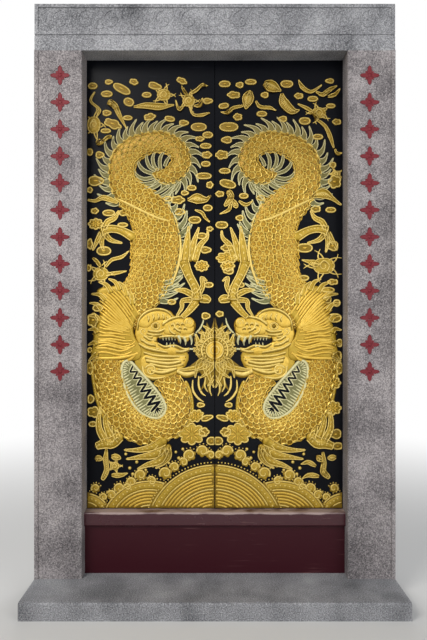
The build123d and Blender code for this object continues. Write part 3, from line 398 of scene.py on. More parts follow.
class Graph:
    """Builder of one node tree, for materials and for geometry alike."""

    def __init__(self, tree: bpy.types.NodeTree) -> None:
        """Start on a tree."""
        self.tree = tree

    def node(self, kind: str, settings: Inputs = None, inputs: Inputs = None) -> bpy.types.Node:
        """Add one node.

        Args:
            kind: Blender's name of the node type.
            settings: Properties of the node, set before its sockets; "stops" fills a colour ramp.
            inputs: Values or links by socket name or number.

        Returns:
            The node.
        """
        node = self.tree.nodes.new(kind)
        for name, value in (settings or {}).items():
            if name == "stops":
                self._fill_ramp(node.color_ramp, value)
            else:
                setattr(node, name, value)
        for name, value in (inputs or {}).items():
            if isinstance(value, Value):
                value = value.socket
            if isinstance(value, Socket):
                self.tree.links.new(value, node.inputs[name])
            else:
                node.inputs[name].default_value = value
        return node

    def out(self, kind: str, settings: Inputs = None, inputs: Inputs = None) -> Socket:
        """Add one node and return its first output."""
        return self.node(kind, settings, inputs).outputs[0]

    def value(self, kind: str, settings: Inputs = None, inputs: Inputs = None) -> Value:
        """Add one node and return its first output as a value."""
        return Value(self, self.out(kind, settings, inputs))

    @staticmethod
    def _fill_ramp(ramp: bpy.types.ColorRamp, stops: Sequence[Tuple[float, Colour]]) -> None:
        """Set the stops of a colour ramp.

        Args:
            ramp: The ramp.
            stops: Place and colour of each stop.
        """
        while len(ramp.elements) > 1:
            ramp.elements.remove(ramp.elements[-1])
        ramp.elements[0].position = stops[0][0]
        ramp.elements[0].color = (*stops[0][1], 1.0)
        for place, colour in stops[1:]:
            ramp.elements.new(place).color = (*colour, 1.0)

    def attribute(self, name: str) -> Value:
        """Number attribute of the piece."""
        return Value(self, self.node("ShaderNodeAttribute", {"attribute_name": name}).outputs["Fac"])

    def place(self, stretch: Triple = (1.0, 1.0, 1.0)) -> Socket:
        """Object coordinates, stretched along each axis."""
        spot = self.node("ShaderNodeTexCoord").outputs["Object"]
        return self.out("ShaderNodeMapping", {}, {"Vector": spot, "Scale": stretch})

    def noise(self, scale: float, detail: float = 3.0, stretch: Triple = (1.0, 1.0, 1.0)) -> Value:
        """Noise over the piece, around 0.5."""
        inputs = {"Vector": self.place(stretch), "Scale": scale, "Detail": detail}
        return self.value("ShaderNodeTexNoise", {}, inputs)

    def cells(self, scale: float) -> Value:
        """Distance within cells of a Voronoi pattern."""
        node = self.node("ShaderNodeTexVoronoi", {"feature": "F1"}, {"Vector": self.place(), "Scale": scale})
        return Value(self, node.outputs["Distance"])

    def axis(self, index: int) -> Value:
        """One object coordinate in metres: 0 across, 1 deep, 2 up."""
        return Value(self, self.node("ShaderNodeSeparateXYZ", {}, {0: self.place()}).outputs[index])

    def ramp(self, factor: Number, stops: Sequence[Tuple[float, Colour]]) -> Socket:
        """Colour that runs through the stops as the factor goes from 0 to 1."""
        return self.out("ShaderNodeValToRGB", {"stops": stops}, {0: factor})

    def blend(self, factor: Number, first: Union[Colour, Socket], second: Union[Colour, Socket]) -> Socket:
        """Mix two colours.

        Args:
            factor: 0 for the first, 1 for the second.
            first: Colour or link.
            second: Colour or link.

        Returns:
            The mixed colour.
        """
        inputs: Dict[int, Any] = {0: factor}
        for slot, colour in ((6, first), (7, second)):
            inputs[slot] = (*colour, 1.0) if isinstance(colour, tuple) else colour
        return self.node("ShaderNodeMix", {"data_type": "RGBA"}, inputs).outputs[2]

    def mix_shaders(self, factor: Number, first: Socket, second: Socket) -> Socket:
        """Mix of two shaders."""
        return self.out("ShaderNodeMixShader", {}, {0: factor, 1: first, 2: second})

    def background_ray(self) -> Value:
        """1 for the rays that show the background: those of the camera, of gloss and of glass."""
        path = self.node("ShaderNodeLightPath").outputs
        kinds = ("Camera", "Glossy", "Transmission")
        camera, gloss, glass = (Value(self, path[f"Is {kind} Ray"]) for kind in kinds)
        return camera + gloss + glass

    def bump(self, height: Value, strength: float, distance: float) -> Socket:
        """Normal of a bumpy surface."""
        return self.out("ShaderNodeBump", {}, {"Strength": strength, "Distance": distance, "Height": height})


@dataclass(frozen=True)
class Coat:
    """What every finish shares: a name, and a shader that its own nodes feed."""

    name: str

    def dress(self, graph: Graph) -> Dict:
        """Inputs of the shader."""
        raise NotImplementedError

    def shader(self, graph: Graph) -> Socket:
        """Shader of the finish."""
        return graph.out("ShaderNodeBsdfPrincipled", {}, self.dress(graph))

    def material(self) -> Material:
        """Build the material.

        Returns:
            The material.
        """
        material = bpy.data.materials.new(self.name)
        material.use_nodes = True
        material.node_tree.nodes.clear()
        graph = Graph(material.node_tree)
        graph.node("ShaderNodeOutputMaterial", {}, {0: self.shader(graph)})
        return material


@dataclass(frozen=True)
class Gilding(Coat):
    """Gold leaf on carved wood, with painted light: dark amber painted shade where a surface turns from the
    front and in the scales' hollows, a pale painted highlight where it faces the front and on their rims, and
    painted shade that makes it duller above and below.
    """

    # Colours of painted light: the first three run from painted shade through the gold to a painted
    # highlight, and the dull one after the roughnesses is painted shade above and below.
    painted_shade_colour: Colour = (0.085, 0.036, 0.003)
    ground: Colour = (0.53, 0.305, 0.018)
    height: Colour = (0.93, 0.72, 0.18)
    metallic: float = 0.28
    roughness: float = 0.36
    painted_dull_shade: Colour = (0.15, 0.088, 0.009)
    grain: float = 0.0012

    def dress(self, graph: Graph) -> Dict:
        """Inputs of the shader.

        Args:
            graph: The material's nodes.

        Returns:
            Values and links by name.
        """
        mottle = graph.noise(38.0, 4.0)
        fine = graph.noise(210.0, 2.0)
        # Painted light: paler where a surface faces the front and on the scales' rims, darker where it turns
        # away and in their hollows.
        light = graph.attribute("facing").between(0.30, 0.98) * 0.56 + graph.attribute("edge") * 0.52
        light = light + (mottle - 0.5) * 0.30 + (fine - 0.5) * 0.22
        colour = graph.ramp(light, [(0.0, self.painted_shade_colour), (0.42, self.ground), (0.95, self.height)])
        # Painted shade: duller towards the top and towards the foot of the leaf.
        level = graph.axis(2)
        painted_shade_band = level.between(2.15, 2.95) * 0.5 + (level.between(0.5, 1.25) * -0.25 + 0.25)
        return {
            "Base Color": graph.blend(painted_shade_band, colour, self.painted_dull_shade),
            "Metallic": self.metallic,
            "Roughness": mottle * 0.25 + self.roughness - 0.12,
            "Specular IOR Level": 0.25,
            "Normal": graph.bump(mottle + fine * 0.6, 0.35, self.grain),
        }


@dataclass(frozen=True)
class Lacquer(Coat):
    """Smooth lacquer with faint brush marks, rubbed dust and fine scratches."""

    colour: Colour
    worn: Colour
    wear: float
    roughness: float
    specular: float

    def dress(self, graph: Graph) -> Dict:
        """Inputs of the shader.

        Args:
            graph: The material's nodes.

        Returns:
            Values and links by name.
        """
        cloudy = graph.noise(2.3, 4.0)
        streaks = graph.noise(60.0, 3.0, (0.08, 1.0, 1.6))
        scuffs = streaks.between(0.62, 0.80) * cloudy.between(0.40, 0.70) * self.wear
        return {
            "Base Color": graph.blend(scuffs, self.colour, self.worn),
            "Roughness": cloudy * 0.16 + scuffs * 0.3 + self.roughness,
            "Specular IOR Level": self.specular,
            "Normal": graph.bump(cloudy + streaks * 0.15, 0.25, 0.0015),
        }


@dataclass(frozen=True)
class CapLacquer(Coat):
    """Dark red lacquer of the threshold cap, worn pale in patches, with a painted highlight pale along its
    front arris.
    """

    colour: Colour
    # Pale colour of the worn patches and of the painted highlight at the arris.
    bare: Colour
    arris_height: float
    scratched: Colour = (0.20, 0.10, 0.09)
    roughness: float = 0.20

    def dress(self, graph: Graph) -> Dict:
        """Inputs of the shader.

        Args:
            graph: The material's nodes.

        Returns:
            Values and links by name.
        """
        patches = graph.noise(16.0, 5.0, (0.5, 1.0, 1.0))
        scratches = graph.noise(120.0, 2.0, (0.06, 1.0, 1.0))
        # Painted highlight: pale along the top of the front arris; the worn mask holds it together with real
        # wear in patches.
        painted_arris_highlight = graph.axis(2).between(self.arris_height - 0.030, self.arris_height - 0.004)
        worn = (patches * 0.8 + painted_arris_highlight * 0.62).between(0.86, 1.08)
        lines = scratches.between(0.66, 0.74) * patches.between(0.4, 0.6) * 0.5
        return {
            "Base Color": graph.blend(worn, graph.blend(lines, self.colour, self.scratched), self.bare),
            "Roughness": worn * 0.35 + patches * 0.12 + self.roughness,
            "Specular IOR Level": 0.5,
            "Normal": graph.bump(patches, 0.3, 0.002),
        }


@dataclass(frozen=True)
class Granite(Coat):
    """Bush-hammered granite with dark and pale grains."""

    dark: Colour
    middle: Colour
    pale: Colour
    pitting: float = 0.0035

    def dress(self, graph: Graph) -> Dict:
        """Inputs of the shader.

        Args:
            graph: The material's nodes.

        Returns:
            Values and links by name.
        """
        grain = graph.noise(150.0, 3.0)
        blotch = graph.noise(4.5, 5.0)
        stain = graph.noise(1.6, 4.0, (2.6, 1.0, 0.35))
        mica = graph.cells(95.0).between(0.0, 0.26)
        light = grain * 1.7 - 0.36 + (blotch - 0.5) * 0.9 - (stain - 0.5) * 0.7 + (mica - 1.0) * 0.4
        return {
            "Base Color": graph.ramp(light, [(0.05, self.dark), (0.45, self.middle), (0.85, self.pale)]),
            "Roughness": grain * 0.2 + 0.66,
            "Normal": graph.bump(graph.cells(190.0) + grain * 0.8, 0.75, self.pitting),
        }


@dataclass(frozen=True)
class Timber(Coat):
    """Oiled timber with long grain."""

    dark: Colour
    pale: Colour
    stretch: Triple = (1.0, 1.0, 0.05)

    def dress(self, graph: Graph) -> Dict:
        """Inputs of the shader.

        Args:
            graph: The material's nodes.

        Returns:
            Values and links by name.
        """
        fibre = graph.noise(120.0, 4.0, self.stretch)
        bands = graph.noise(22.0, 3.0, self.stretch)
        return {
            "Base Color": graph.ramp(bands * 0.65 + fibre * 0.45, [(0.25, self.dark), (0.85, self.pale)]),
            "Roughness": fibre * 0.25 + 0.5,
            "Normal": graph.bump(fibre, 0.4, 0.001),
        }


@dataclass(frozen=True)
class Iron(Coat):
    """Forged iron, dark with a little rust."""

    tones: Tuple[Tuple[float, Colour], ...] = (
        (0.35, (0.03, 0.028, 0.026)), (0.62, (0.06, 0.045, 0.035)), (0.8, (0.16, 0.06, 0.025)),
    )

    def dress(self, graph: Graph) -> Dict:
        """Inputs of the shader.

        Args:
            graph: The material's nodes.

        Returns:
            Values and links by name.
        """
        rust = graph.noise(30.0, 5.0)
        return {
            "Base Color": graph.ramp(rust, self.tones),
            "Metallic": 0.75,
            "Roughness": rust * 0.4 + 0.35,
            "Normal": graph.bump(graph.cells(60.0), 0.3, 0.0012),
        }


@dataclass(frozen=True)
class FloorPaint(Coat):
    """Plain pale floor, which goes over into a white background away from the door."""

    colour: Colour
    fade: Tuple[float, float]

    def dress(self, graph: Graph) -> Dict:
        """Inputs of the floor near the door."""
        return {"Base Color": (*self.colour, 1.0), "Roughness": 0.85, "Specular IOR Level": 0.2}

    def shader(self, graph: Graph) -> Socket:
        """Mix the floor with the background.

        Args:
            graph: The material's nodes.

        Returns:
            The shader.
        """
        near = super().shader(graph)
        far = graph.out("ShaderNodeEmission", {}, {"Color": (1.0, 1.0, 1.0, 1.0), "Strength": 1.0})
        across, deep = graph.axis(0), graph.axis(1)
        away = (across * across + deep * deep) ** 0.5
        return graph.mix_shaders(graph.background_ray() * away.between(*self.fade), near, far)


class Finish(Enum):
    """Finishes of the door."""

    GOLD = Gilding("gilding_gold")
    # Paler gilding of rims, lines and beads: a painted highlight on what stands up.
    PALE_GOLD = Gilding(
        "gilding_pale", (0.22, 0.12, 0.012), (0.66, 0.46, 0.09), (0.93, 0.77, 0.31), 0.20, 0.40
    )
    # Dark amber gilding of hollows, grounds and shadow lines: painted shade.
    AMBER = Gilding(
        "gilding_amber", (0.025, 0.013, 0.001), (0.17, 0.100, 0.003), (0.42, 0.27, 0.012), 0.10, 0.50
    )
    # Darker olive gilding of grounds and fills inside pale rims: painted shade.
    OLIVE = Gilding(
        "gilding_olive", (0.055, 0.028, 0.002), (0.33, 0.20, 0.009), (0.68, 0.48, 0.07), 0.22, 0.40
    )
    WEB = Gilding("crest_web", (0.030, 0.032, 0.010), (0.125, 0.120, 0.040), (0.33, 0.31, 0.13), 0.05, 0.55)
    CREST = Gilding("crest_paint", (0.24, 0.22, 0.09), (0.55, 0.51, 0.26), (0.84, 0.79, 0.47), 0.05, 0.5)
    BLACK = Lacquer("lacquer_black", (0.0022, 0.0026, 0.0042), (0.030, 0.034, 0.045), 0.4, 0.26, 0.07)
    THRESHOLD = Lacquer("lacquer_red", (0.034, 0.004, 0.008), (0.16, 0.07, 0.07), 0.7, 0.28, 0.16)
    CAP = CapLacquer("lacquer_cap", (0.045, 0.007, 0.012), (0.31, 0.23, 0.21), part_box("threshold_cap")[1].z)
    GRANITE = Granite("granite_grey", (0.050, 0.052, 0.058), (0.205, 0.205, 0.215), (0.40, 0.40, 0.41))
    JAMB = Granite("granite_warm", (0.048, 0.042, 0.044), (0.195, 0.176, 0.178), (0.40, 0.365, 0.36))
    PAINT = Lacquer("paint_red", (0.155, 0.016, 0.022), (0.22, 0.13, 0.12), 0.9, 0.50, 0.25)
    TIMBER = Timber("timber_oiled", (0.055, 0.026, 0.012), (0.21, 0.115, 0.055))
    IRON = Iron("iron_forged")


class Profile(Enum):
    """Cross-sections of carved work, across and up for a half width of one."""

    ROUND = ((-1.0, 0.0), (-0.9, 0.45), (-0.55, 0.84), (0.0, 1.0), (0.55, 0.84), (0.9, 0.45), (1.0, 0.0))
    BODY = tuple((-math.cos(math.pi * turn / 20), math.sin(math.pi * turn / 20)) for turn in range(21))


class Side(Enum):
    """The two leaves, named as their bodies and nodes begin."""

    LEFT = "left"
    RIGHT = "right"

    @property
    def mirrored(self) -> bool:
        """True where the shared drawing is mirrored."""
        return self is Side.RIGHT


class Drawing:
    """Turns columns and rows of the drawing into places on the leaves."""

    def __init__(self) -> None:
        """Read the doorway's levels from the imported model."""
        self.threshold_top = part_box("threshold_cap")[1].z
        self.leaf_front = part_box("left_board_1")[0].y

    def level(self, row: float) -> float:
        """Height of a row in metres."""
        return self.threshold_top + (THRESHOLD_ROW - row) * STEP

    def spot(self, column: float, row: float, mirrored: bool, lift: float) -> Vector:
        """Find a place on a leaf.

        Args:
            column: Column of the drawing.
            row: Row of the drawing.
            mirrored: True for the right leaf's copy of what is drawn on the left.
            lift: Height above the boards in metres.

        Returns:
            The place in metres.
        """
        across = (column - MEETING_COLUMN) * STEP
        return Vector((-across if mirrored else across, self.leaf_front - lift, self.level(row)))


def around(centre: Sequence[float], across: float, down: float, angle: float, *width: float) -> Station:
    """Spot at an angle round a centre, followed by a width where one is given."""
    return (centre[0] + across * math.cos(angle), centre[1] + down * math.sin(angle), *width)


def beside(column: float, row: float, along: float, down: float, reach: float) -> Tuple[float, float]:
    """Spot to one side of a course that runs along and down."""
    return column + down * reach, row - along * reach


def tick(
    column: float, row: float, across: float, low: float, high: float, thin: float, broad: float
) -> Stroke:
    """Short bent stroke across a form, with thin ends and a broad middle."""
    ends = [(column + reach, row + low, thin) for reach in (-across, across)]
    return [ends[0], (column, row + high, broad), ends[1]]


def smooth_course(points: Sequence[Sequence[float]], steps: int, closed: bool = False) -> np.ndarray:
    """Lay a Catmull-Rom course through the points.

    Args:
        points: Columns, rows and any further values.
        steps: Pieces between two points.
        closed: True for a closed outline.

    Returns:
        One row for each station.
    """
    given = np.array(points, float)
    ends = np.vstack([given[-1:], given, given[:2]]) if closed else np.vstack([given[:1], given, given[-1:]])
    stations = []
    for before, start, finish, after in zip(ends, ends[1:], ends[2:], ends[3:]):
        for t in np.arange(steps) / steps:
            bend = 2 * before - 5 * start + 4 * finish - after
            twist = 3 * start - before - 3 * finish + after
            stations.append(start + 0.5 * t * ((finish - before) + t * (bend + t * twist)))
    if not closed:
        stations.append(given[-1])
    return np.array(stations)


def directions(stations: np.ndarray) -> np.ndarray:
    """Find the direction of a course at each station.

    Args:
        stations: Columns, rows and widths.

    Returns:
        Steps across and down, of length one.
    """
    run = np.vstack([stations[1:], stations[-1:]])[:, :2] - np.vstack([stations[:1], stations[:-1]])[:, :2]
    return run / np.maximum(np.hypot(run[:, 0], run[:, 1]), 1e-6)[:, None]


def inside(outline: np.ndarray, column: np.ndarray, row: np.ndarray) -> np.ndarray:
    """Find the spots inside a closed outline.

    Args:
        outline: Columns and rows of the outline.
        column: Columns of the spots.
        row: Rows of the spots.

    Returns:
        True for each spot that lies inside.
    """
    found = np.zeros(column.shape, bool)
    for (x1, y1), (x2, y2) in zip(outline, np.roll(outline, -1, axis=0)):
        crosses = (y1 > row) != (y2 > row)
        slope = np.where(crosses, (x2 - x1) * (row - y1) / ((y2 - y1) or 1e-9) + x1, 0.0)
        found ^= crosses & (column < slope)
    return found


def holds(outline: np.ndarray, column: float, row: float) -> bool:
    """True where one spot lies inside a closed outline."""
    return bool(inside(outline, np.array([column]), np.array([row]))[0])


def edge_distance(outline: np.ndarray, column: np.ndarray, row: np.ndarray) -> np.ndarray:
    """Measure how far spots are from the nearest side of a closed outline.

    Args:
        outline: Columns and rows of the outline.
        column: Columns of the spots.
        row: Rows of the spots.

    Returns:
        The distances in columns.
    """
    best = np.full(column.shape, 1e9)
    for (x1, y1), (x2, y2) in zip(outline, np.roll(outline, -1, axis=0)):
        run = np.array([x2 - x1, y2 - y1])
        share = np.clip(((column - x1) * run[0] + (row - y1) * run[1]) / max(run @ run, 1e-9), 0, 1)
        best = np.minimum(best, np.hypot(column - x1 - share * run[0], row - y1 - share * run[1]))
    return best


def lobed_outline(
    column: float, row: float, width: float, height: float, tilt: float, lobes: int
) -> np.ndarray:
    """Draw the closed outline of a cloud or flower.

    Args:
        column: Centre column.
        row: Centre row.
        width: Width in columns.
        height: Height in rows.
        tilt: Lean in degrees.
        lobes: Number of lobes.

    Returns:
        Columns and rows of the outline.
    """
    turn = np.linspace(0, 2 * math.pi, max(18, lobes * 6), endpoint=False)
    least, swell = (0.40, 0.13) if lobes > 3 else (0.42, 0.10)
    reach = least + swell * np.abs(np.cos(turn * lobes / 2))
    lean = math.radians(tilt)
    across = width * reach * np.cos(turn)
    down = height * reach * np.sin(turn)
    columns = column + across * math.cos(lean) + down * math.sin(lean)
    rows = row - across * math.sin(lean) + down * math.cos(lean)
    return np.stack([columns, rows], axis=1)


def circle_outline(column: float, row: float, radius: float, corners: int) -> np.ndarray:
    """Closed round outline."""
    turn = np.linspace(0, 2 * math.pi, corners, endpoint=False)
    return np.stack([column + radius * np.cos(turn), row + radius * np.sin(turn)], axis=1)


def in_field(outline: np.ndarray) -> np.ndarray:
    """The same outline held inside the carved part of the leaf."""
    return np.clip(outline, (LEFT_LIMIT, TOP_LIMIT), (RIGHT_LIMIT, FOOT_LIMIT))


def shows(column: float, row: float) -> bool:
    """True inside the carved part of the leaf."""
    return LEFT_LIMIT <= column <= RIGHT_LIMIT and TOP_LIMIT <= row <= FOOT_LIMIT


def spiral(column: float, row: float, size: float, turns: float, start: float, width: float) -> Stroke:
    """Draw a stroke that curls inwards.

    Args:
        column: Column of the spiral's eye.
        row: Row of the eye.
        size: Width over all.
        turns: Number of turns.
        start: Angle in degrees where the outer end lies.
        width: Width of the stroke at the outer end.

    Returns:
        Stations from the outer end to the eye.
    """
    stations = []
    steps = max(8, int(turns * 14))
    for step in range(steps + 1):
        share = step / steps
        angle = math.radians(start) + 2 * math.pi * turns * share
        reach = size / 2 * (1 - share) ** 0.8 + 0.06 * size
        stations.append(around((column, row), reach, reach, angle, width * (1 - 0.45 * share)))
    return stations


def runs(stroke: Stroke, keep: Callable[[float, float], bool]) -> List[Stroke]:
    """Cut a stroke where its stations aren't kept.

    Args:
        stroke: Column, row and width of each station.
        keep: True for the spots that are kept.

    Returns:
        Lengths of three stations or more.
    """
    found: List[Stroke] = [[]]
    for station in stroke:
        if keep(station[0], station[1]):
            found[-1].append(station)
        elif found[-1]:
            found.append([])
    return [length for length in found if len(length) >= 3]


def new_object(name: str, data: bpy.types.ID) -> Piece:
    """Link a new object at the origin."""
    made = bpy.data.objects.new(name, data)
    bpy.context.scene.collection.objects.link(made)
    return made


def mend_normals(piece: Piece) -> Piece:
    """Turn the faces of a closed piece outwards.

    Args:
        piece: The piece.

    Returns:
        The same piece.
    """
    sculpt = bmesh.new()
    sculpt.from_mesh(piece.data)
    bmesh.ops.recalc_face_normals(sculpt, faces=sculpt.faces)
    sculpt.to_mesh(piece.data)
    sculpt.free()
    return piece


def solid(
    name: str, corners: Sequence[Sequence[float]], faces: Sequence[Tuple[int, ...]], finish: Material,
    smooth: Optional[float] = None,
) -> Piece:
    """Make a closed piece from its corners and faces.

    Args:
        name: Name of the piece.
        corners: Places in metres.
        faces: Numbers of the corners of each face.
        finish: Material.
        smooth: Angle in degrees up to which it is shaded smooth, or none.

    Returns:
        The piece.
    """
    mesh = bpy.data.meshes.new(name)
    mesh.from_pydata([tuple(corner) for corner in corners], [], faces)
    mesh.materials.append(finish)
    piece = mend_normals(new_object(name, mesh))
    if smooth is not None:
        mesh.polygons.foreach_set("use_smooth", [True] * len(mesh.polygons))
        mesh.set_sharp_from_angle(angle=math.radians(smooth))
    return piece


def join(name: str, parts: Sequence[Piece]) -> Piece:
    """Join parts into one mesh.

    Args:
        name: Name of the joined piece.
        parts: Parts, which are removed.

    Returns:
        The joined piece.
    """
    sculpt = bmesh.new()
    materials: List[Material] = []
    for part in parts:
        start = len(sculpt.faces)
        sculpt.from_mesh(part.data)
        sculpt.faces.ensure_lookup_table()
        own = part.data.materials[0]
        if own not in materials:
            materials.append(own)
        for face in sculpt.faces[start:]:
            face.material_index = materials.index(own)
        bpy.data.objects.remove(part)
    mesh = bpy.data.meshes.new(name)
    sculpt.to_mesh(mesh)
    sculpt.free()
    for material in materials:
        mesh.materials.append(material)
    return new_object(name, mesh)


def settle(piece: Piece, body: str, nodes: Sequence[str] = ()) -> None:
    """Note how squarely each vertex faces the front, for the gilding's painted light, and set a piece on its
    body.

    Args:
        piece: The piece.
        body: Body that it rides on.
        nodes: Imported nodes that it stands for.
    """
    mesh = piece.data
    normals = np.zeros(len(mesh.vertices) * 3, np.float32)
    mesh.vertices.foreach_get("normal", normals)
    facing = np.clip(-normals.reshape(-1, 3)[:, 1], 0.0, 1.0)
    mesh.attributes.new("facing", "FLOAT", "POINT").data.foreach_set("value", facing.astype(np.float32))
    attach(piece, body)
    if nodes:
        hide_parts(*nodes)
    log.info("%s: %d faces", piece.name, len(mesh.polygons))


class CarvingTree:
    """Geometry Nodes tree with named inputs whose result becomes one dressed plain mesh."""

    def __init__(self, name: str, inputs: Dict[str, str]) -> None:
        """Start the tree.

        Args:
            name: Name of the tree.
            inputs: Kind of each named input, the first being the geometry that it works on.
        """
        self.tree = bpy.data.node_groups.new(name, "GeometryNodeTree")
        sockets = self.tree.interface
        self.inputs = {
            label: sockets.new_socket(label, in_out="INPUT", socket_type="NodeSocket" + kind).identifier
            for label, kind in inputs.items()
        }
        sockets.new_socket("Carving", in_out="OUTPUT", socket_type="NodeSocketGeometry")
        self.graph = Graph(self.tree)
        self.given = self.graph.node("NodeGroupInput").outputs

    def close(self, carving: Socket) -> None:
        """Realize the carving, dress it and hand it out."""
        real = self.graph.out("GeometryNodeRealizeInstances", {}, {"Geometry": carving})
        inputs = {"Geometry": real, "Material": self.given["Finish"]}
        self.graph.node("NodeGroupOutput", {}, {0: self.graph.out("GeometryNodeSetMaterial", {}, inputs)})

    def run(self, data: bpy.types.ID, values: Dict[str, Any]) -> Piece:
        """Run the tree and turn its result into a plain mesh.

        Args:
            data: Curve or mesh that the tree works on.
            values: Values of the named inputs.

        Returns:
            The piece.
        """
        carrier = new_object("carrier", data)
        modifier = carrier.modifiers.new("carving", "NODES")
        modifier.node_group = self.tree
        for label, value in values.items():
            modifier[self.inputs[label]] = value
        graph = bpy.context.evaluated_depsgraph_get()
        mesh = bpy.data.meshes.new_from_object(carrier.evaluated_get(graph), depsgraph=graph)
        bpy.data.objects.remove(carrier)
        return new_object("carving", mesh)


class StrokeTree(CarvingTree):
    """Geometry Nodes that sweep a carved profile of changing width along each stroke."""

    def __init__(self) -> None:
        """Build the tree with its named inputs."""
        super().__init__("carved_strokes", {
            "Strokes": "Geometry", "Profile": "Object", "Spacing": "Float", "Finish": "Material",
        })
        graph, given = self.graph, self.given
        smooth = graph.out(
            "GeometryNodeCurveSplineType", {"spline_type": "CATMULL_ROM"}, {"Curve": given["Strokes"]}
        )
        evenly = graph.out(
            "GeometryNodeResampleCurve", {"mode": "LENGTH"}, {"Curve": smooth, "Length": given["Spacing"]}
        )
        level = graph.out(
            "GeometryNodeSetCurveNormal", {"mode": "FREE"}, {"Curve": evenly, "Normal": (0.0, -1.0, 0.0)}
        )
        section = graph.node("GeometryNodeObjectInfo", {}, {"Object": given["Profile"]})
        swept = graph.out("GeometryNodeCurveToMesh", {}, {
            "Curve": level, "Profile Curve": section.outputs["Geometry"],
            "Scale": graph.out("GeometryNodeInputRadius"), "Fill Caps": True,
        })
        self.close(graph.out("GeometryNodeSetShadeSmooth", {}, {"Geometry": swept}))

    def carve(
        self, strokes: Sequence[Sequence[Tuple[Vector, float]]], rise: float, finish: Material,
        closed: bool = False, spacing: float = 0.006,
    ) -> Piece:
        """Carve round strokes into one plain mesh.

        Args:
            strokes: For each stroke its places and half widths, in metres.
            rise: Height of the cross-section for a half width of one.
            finish: Material.
            closed: True where each stroke runs back to its start.
            spacing: Distance between sections in metres.

        Returns:
            The piece.
        """
        section = self._curve()
        outline = Profile.ROUND.value
        self._spline(section, [(up * rise, across, 0.0, 1.0) for across, up in outline], True)
        template = new_object("section", section)
        lines = self._curve()
        for stroke in strokes:
            spline = self._spline(lines, [(*place, 1.0) for place, _ in stroke], closed)
            spline.points.foreach_set("radius", [half_width for _, half_width in stroke])
        piece = self.run(lines, {"Profile": template, "Spacing": spacing, "Finish": finish})
        bpy.data.objects.remove(template)
        return mend_normals(piece)

    @staticmethod
    def _curve() -> bpy.types.Curve:
        """Empty curve in space."""
        curve = bpy.data.curves.new("stroke", "CURVE")
        curve.dimensions = "3D"
        return curve

    @staticmethod
    def _spline(curve: bpy.types.Curve, places: Sequence[Sequence[float]], closed: bool) -> bpy.types.Spline:
        """Add one spline to a curve.

        Args:
            curve: The curve.
            places: Points with their weight.
            closed: True where it runs back to its start.

        Returns:
            The spline.
        """
        spline = curve.splines.new("POLY")
        spline.points.add(len(places) - 1)
        spline.use_cyclic_u = closed
        for point, place in zip(spline.points, places):
            point.co = place
        return spline


class PatternTree(CarvingTree):
    """Geometry Nodes that set a small carved shape at each marked place."""

    def __init__(self) -> None:
        """Build the tree with its named inputs."""
        super().__init__("carved_pattern", {
            "Places": "Geometry", "Shape": "Object", "Swell": "Float", "Seed": "Int", "Finish": "Material",
        })
        graph, given = self.graph, self.given
        out, aim, size = (
            graph.out("GeometryNodeInputNamedAttribute", {"data_type": "FLOAT_VECTOR"}, {"Name": name})
            for name in ("out", "aim", "size")
        )
        turned = graph.out(
            "FunctionNodeAxesToRotation", {"primary_axis": "Z", "secondary_axis": "X"},
            {"Primary Axis": out, "Secondary Axis": aim},
        )
        share = graph.node(
            "FunctionNodeRandomValue", {"data_type": "FLOAT"}, {"Seed": given["Seed"], 2: -1.0, 3: 1.0}
        )
        factor = Value(graph, share.outputs[1]) * Value(graph, given["Swell"]) + 1.0
        shape = graph.node("GeometryNodeObjectInfo", {}, {"Object": given["Shape"]})
        self.close(graph.out("GeometryNodeInstanceOnPoints", {}, {
            "Points": given["Places"], "Instance": shape.outputs["Geometry"], "Rotation": turned,
            "Scale": graph.out("ShaderNodeVectorMath", {"operation": "SCALE"}, {0: size, "Scale": factor}),
        }))

    def set_out(self, places: Sequence[Copy], shape: Piece, swell: float, seed: int) -> Piece:
        """Set a shape at every place and return one plain mesh.

        Args:
            places: Place, outward direction, aim and size of each copy.
            shape: Template, with its foot at its own origin and its aim along X, which is removed.
            swell: Share by which the copies differ in size.
            seed: Seed of that difference.

        Returns:
            The piece.
        """
        mesh = bpy.data.meshes.new("places")
        mesh.from_pydata([tuple(place) for place, _, _, _ in places], [], [])
        for slot, attribute in ((1, "out"), (2, "aim"), (3, "size")):
            data = mesh.attributes.new(attribute, "FLOAT_VECTOR", "POINT").data
            data.foreach_set("vector", [part for entry in places for part in entry[slot]])
        finish = shape.data.materials[0]
        piece = self.run(mesh, {"Shape": shape, "Swell": swell, "Seed": seed, "Finish": finish})
        bpy.data.objects.remove(shape)
        return piece


def scale_template(finish: Material) -> Piece:
    """Make one scale: a shield with a raised rim, its free edge along X.

    Args:
        finish: Material.

    Returns:
        The template, of about unit size.
    """
    half = [(-0.50, 0.40), (-0.05, 0.52), (0.34, 0.42), (0.60, 0.20), (0.68, 0.0)]
    outline = half + [(x, -y) for x, y in half[-2::-1]]
    count = len(outline)
    corners = [(x, y, 0.55 + 0.45 * max(0.0, x)) for x, y in outline]
    corners += [(0.02 + (x - 0.02) * 0.70, y * 0.70, 0.30 + 0.30 * max(0.0, x)) for x, y in outline]
    corners += [(x, y, -0.5) for x, y in outline] + [(0.05, 0.0, 0.46)]
    faces: List[Tuple[int, ...]] = []
    for a in range(count):
        b = (a + 1) % count
        faces += [(a, b, count + b, count + a), (count + a, count + b, 3 * count)]
        faces.append((2 * count + a, 2 * count + b, b, a))
    faces.append(tuple(range(3 * count - 1, 2 * count - 1, -1)))
    template = solid("scale", corners, faces, finish)
    # Painted light of the scale: its raised rim is painted as a highlight and its hollow as painted shade,
    # through the gilding.
    rim = template.data.attributes.new("edge", "FLOAT", "POINT")
    rim.data.foreach_set("value", [1.0] * count + [-0.8] * count + [0.0] * count + [-0.45])
    return template


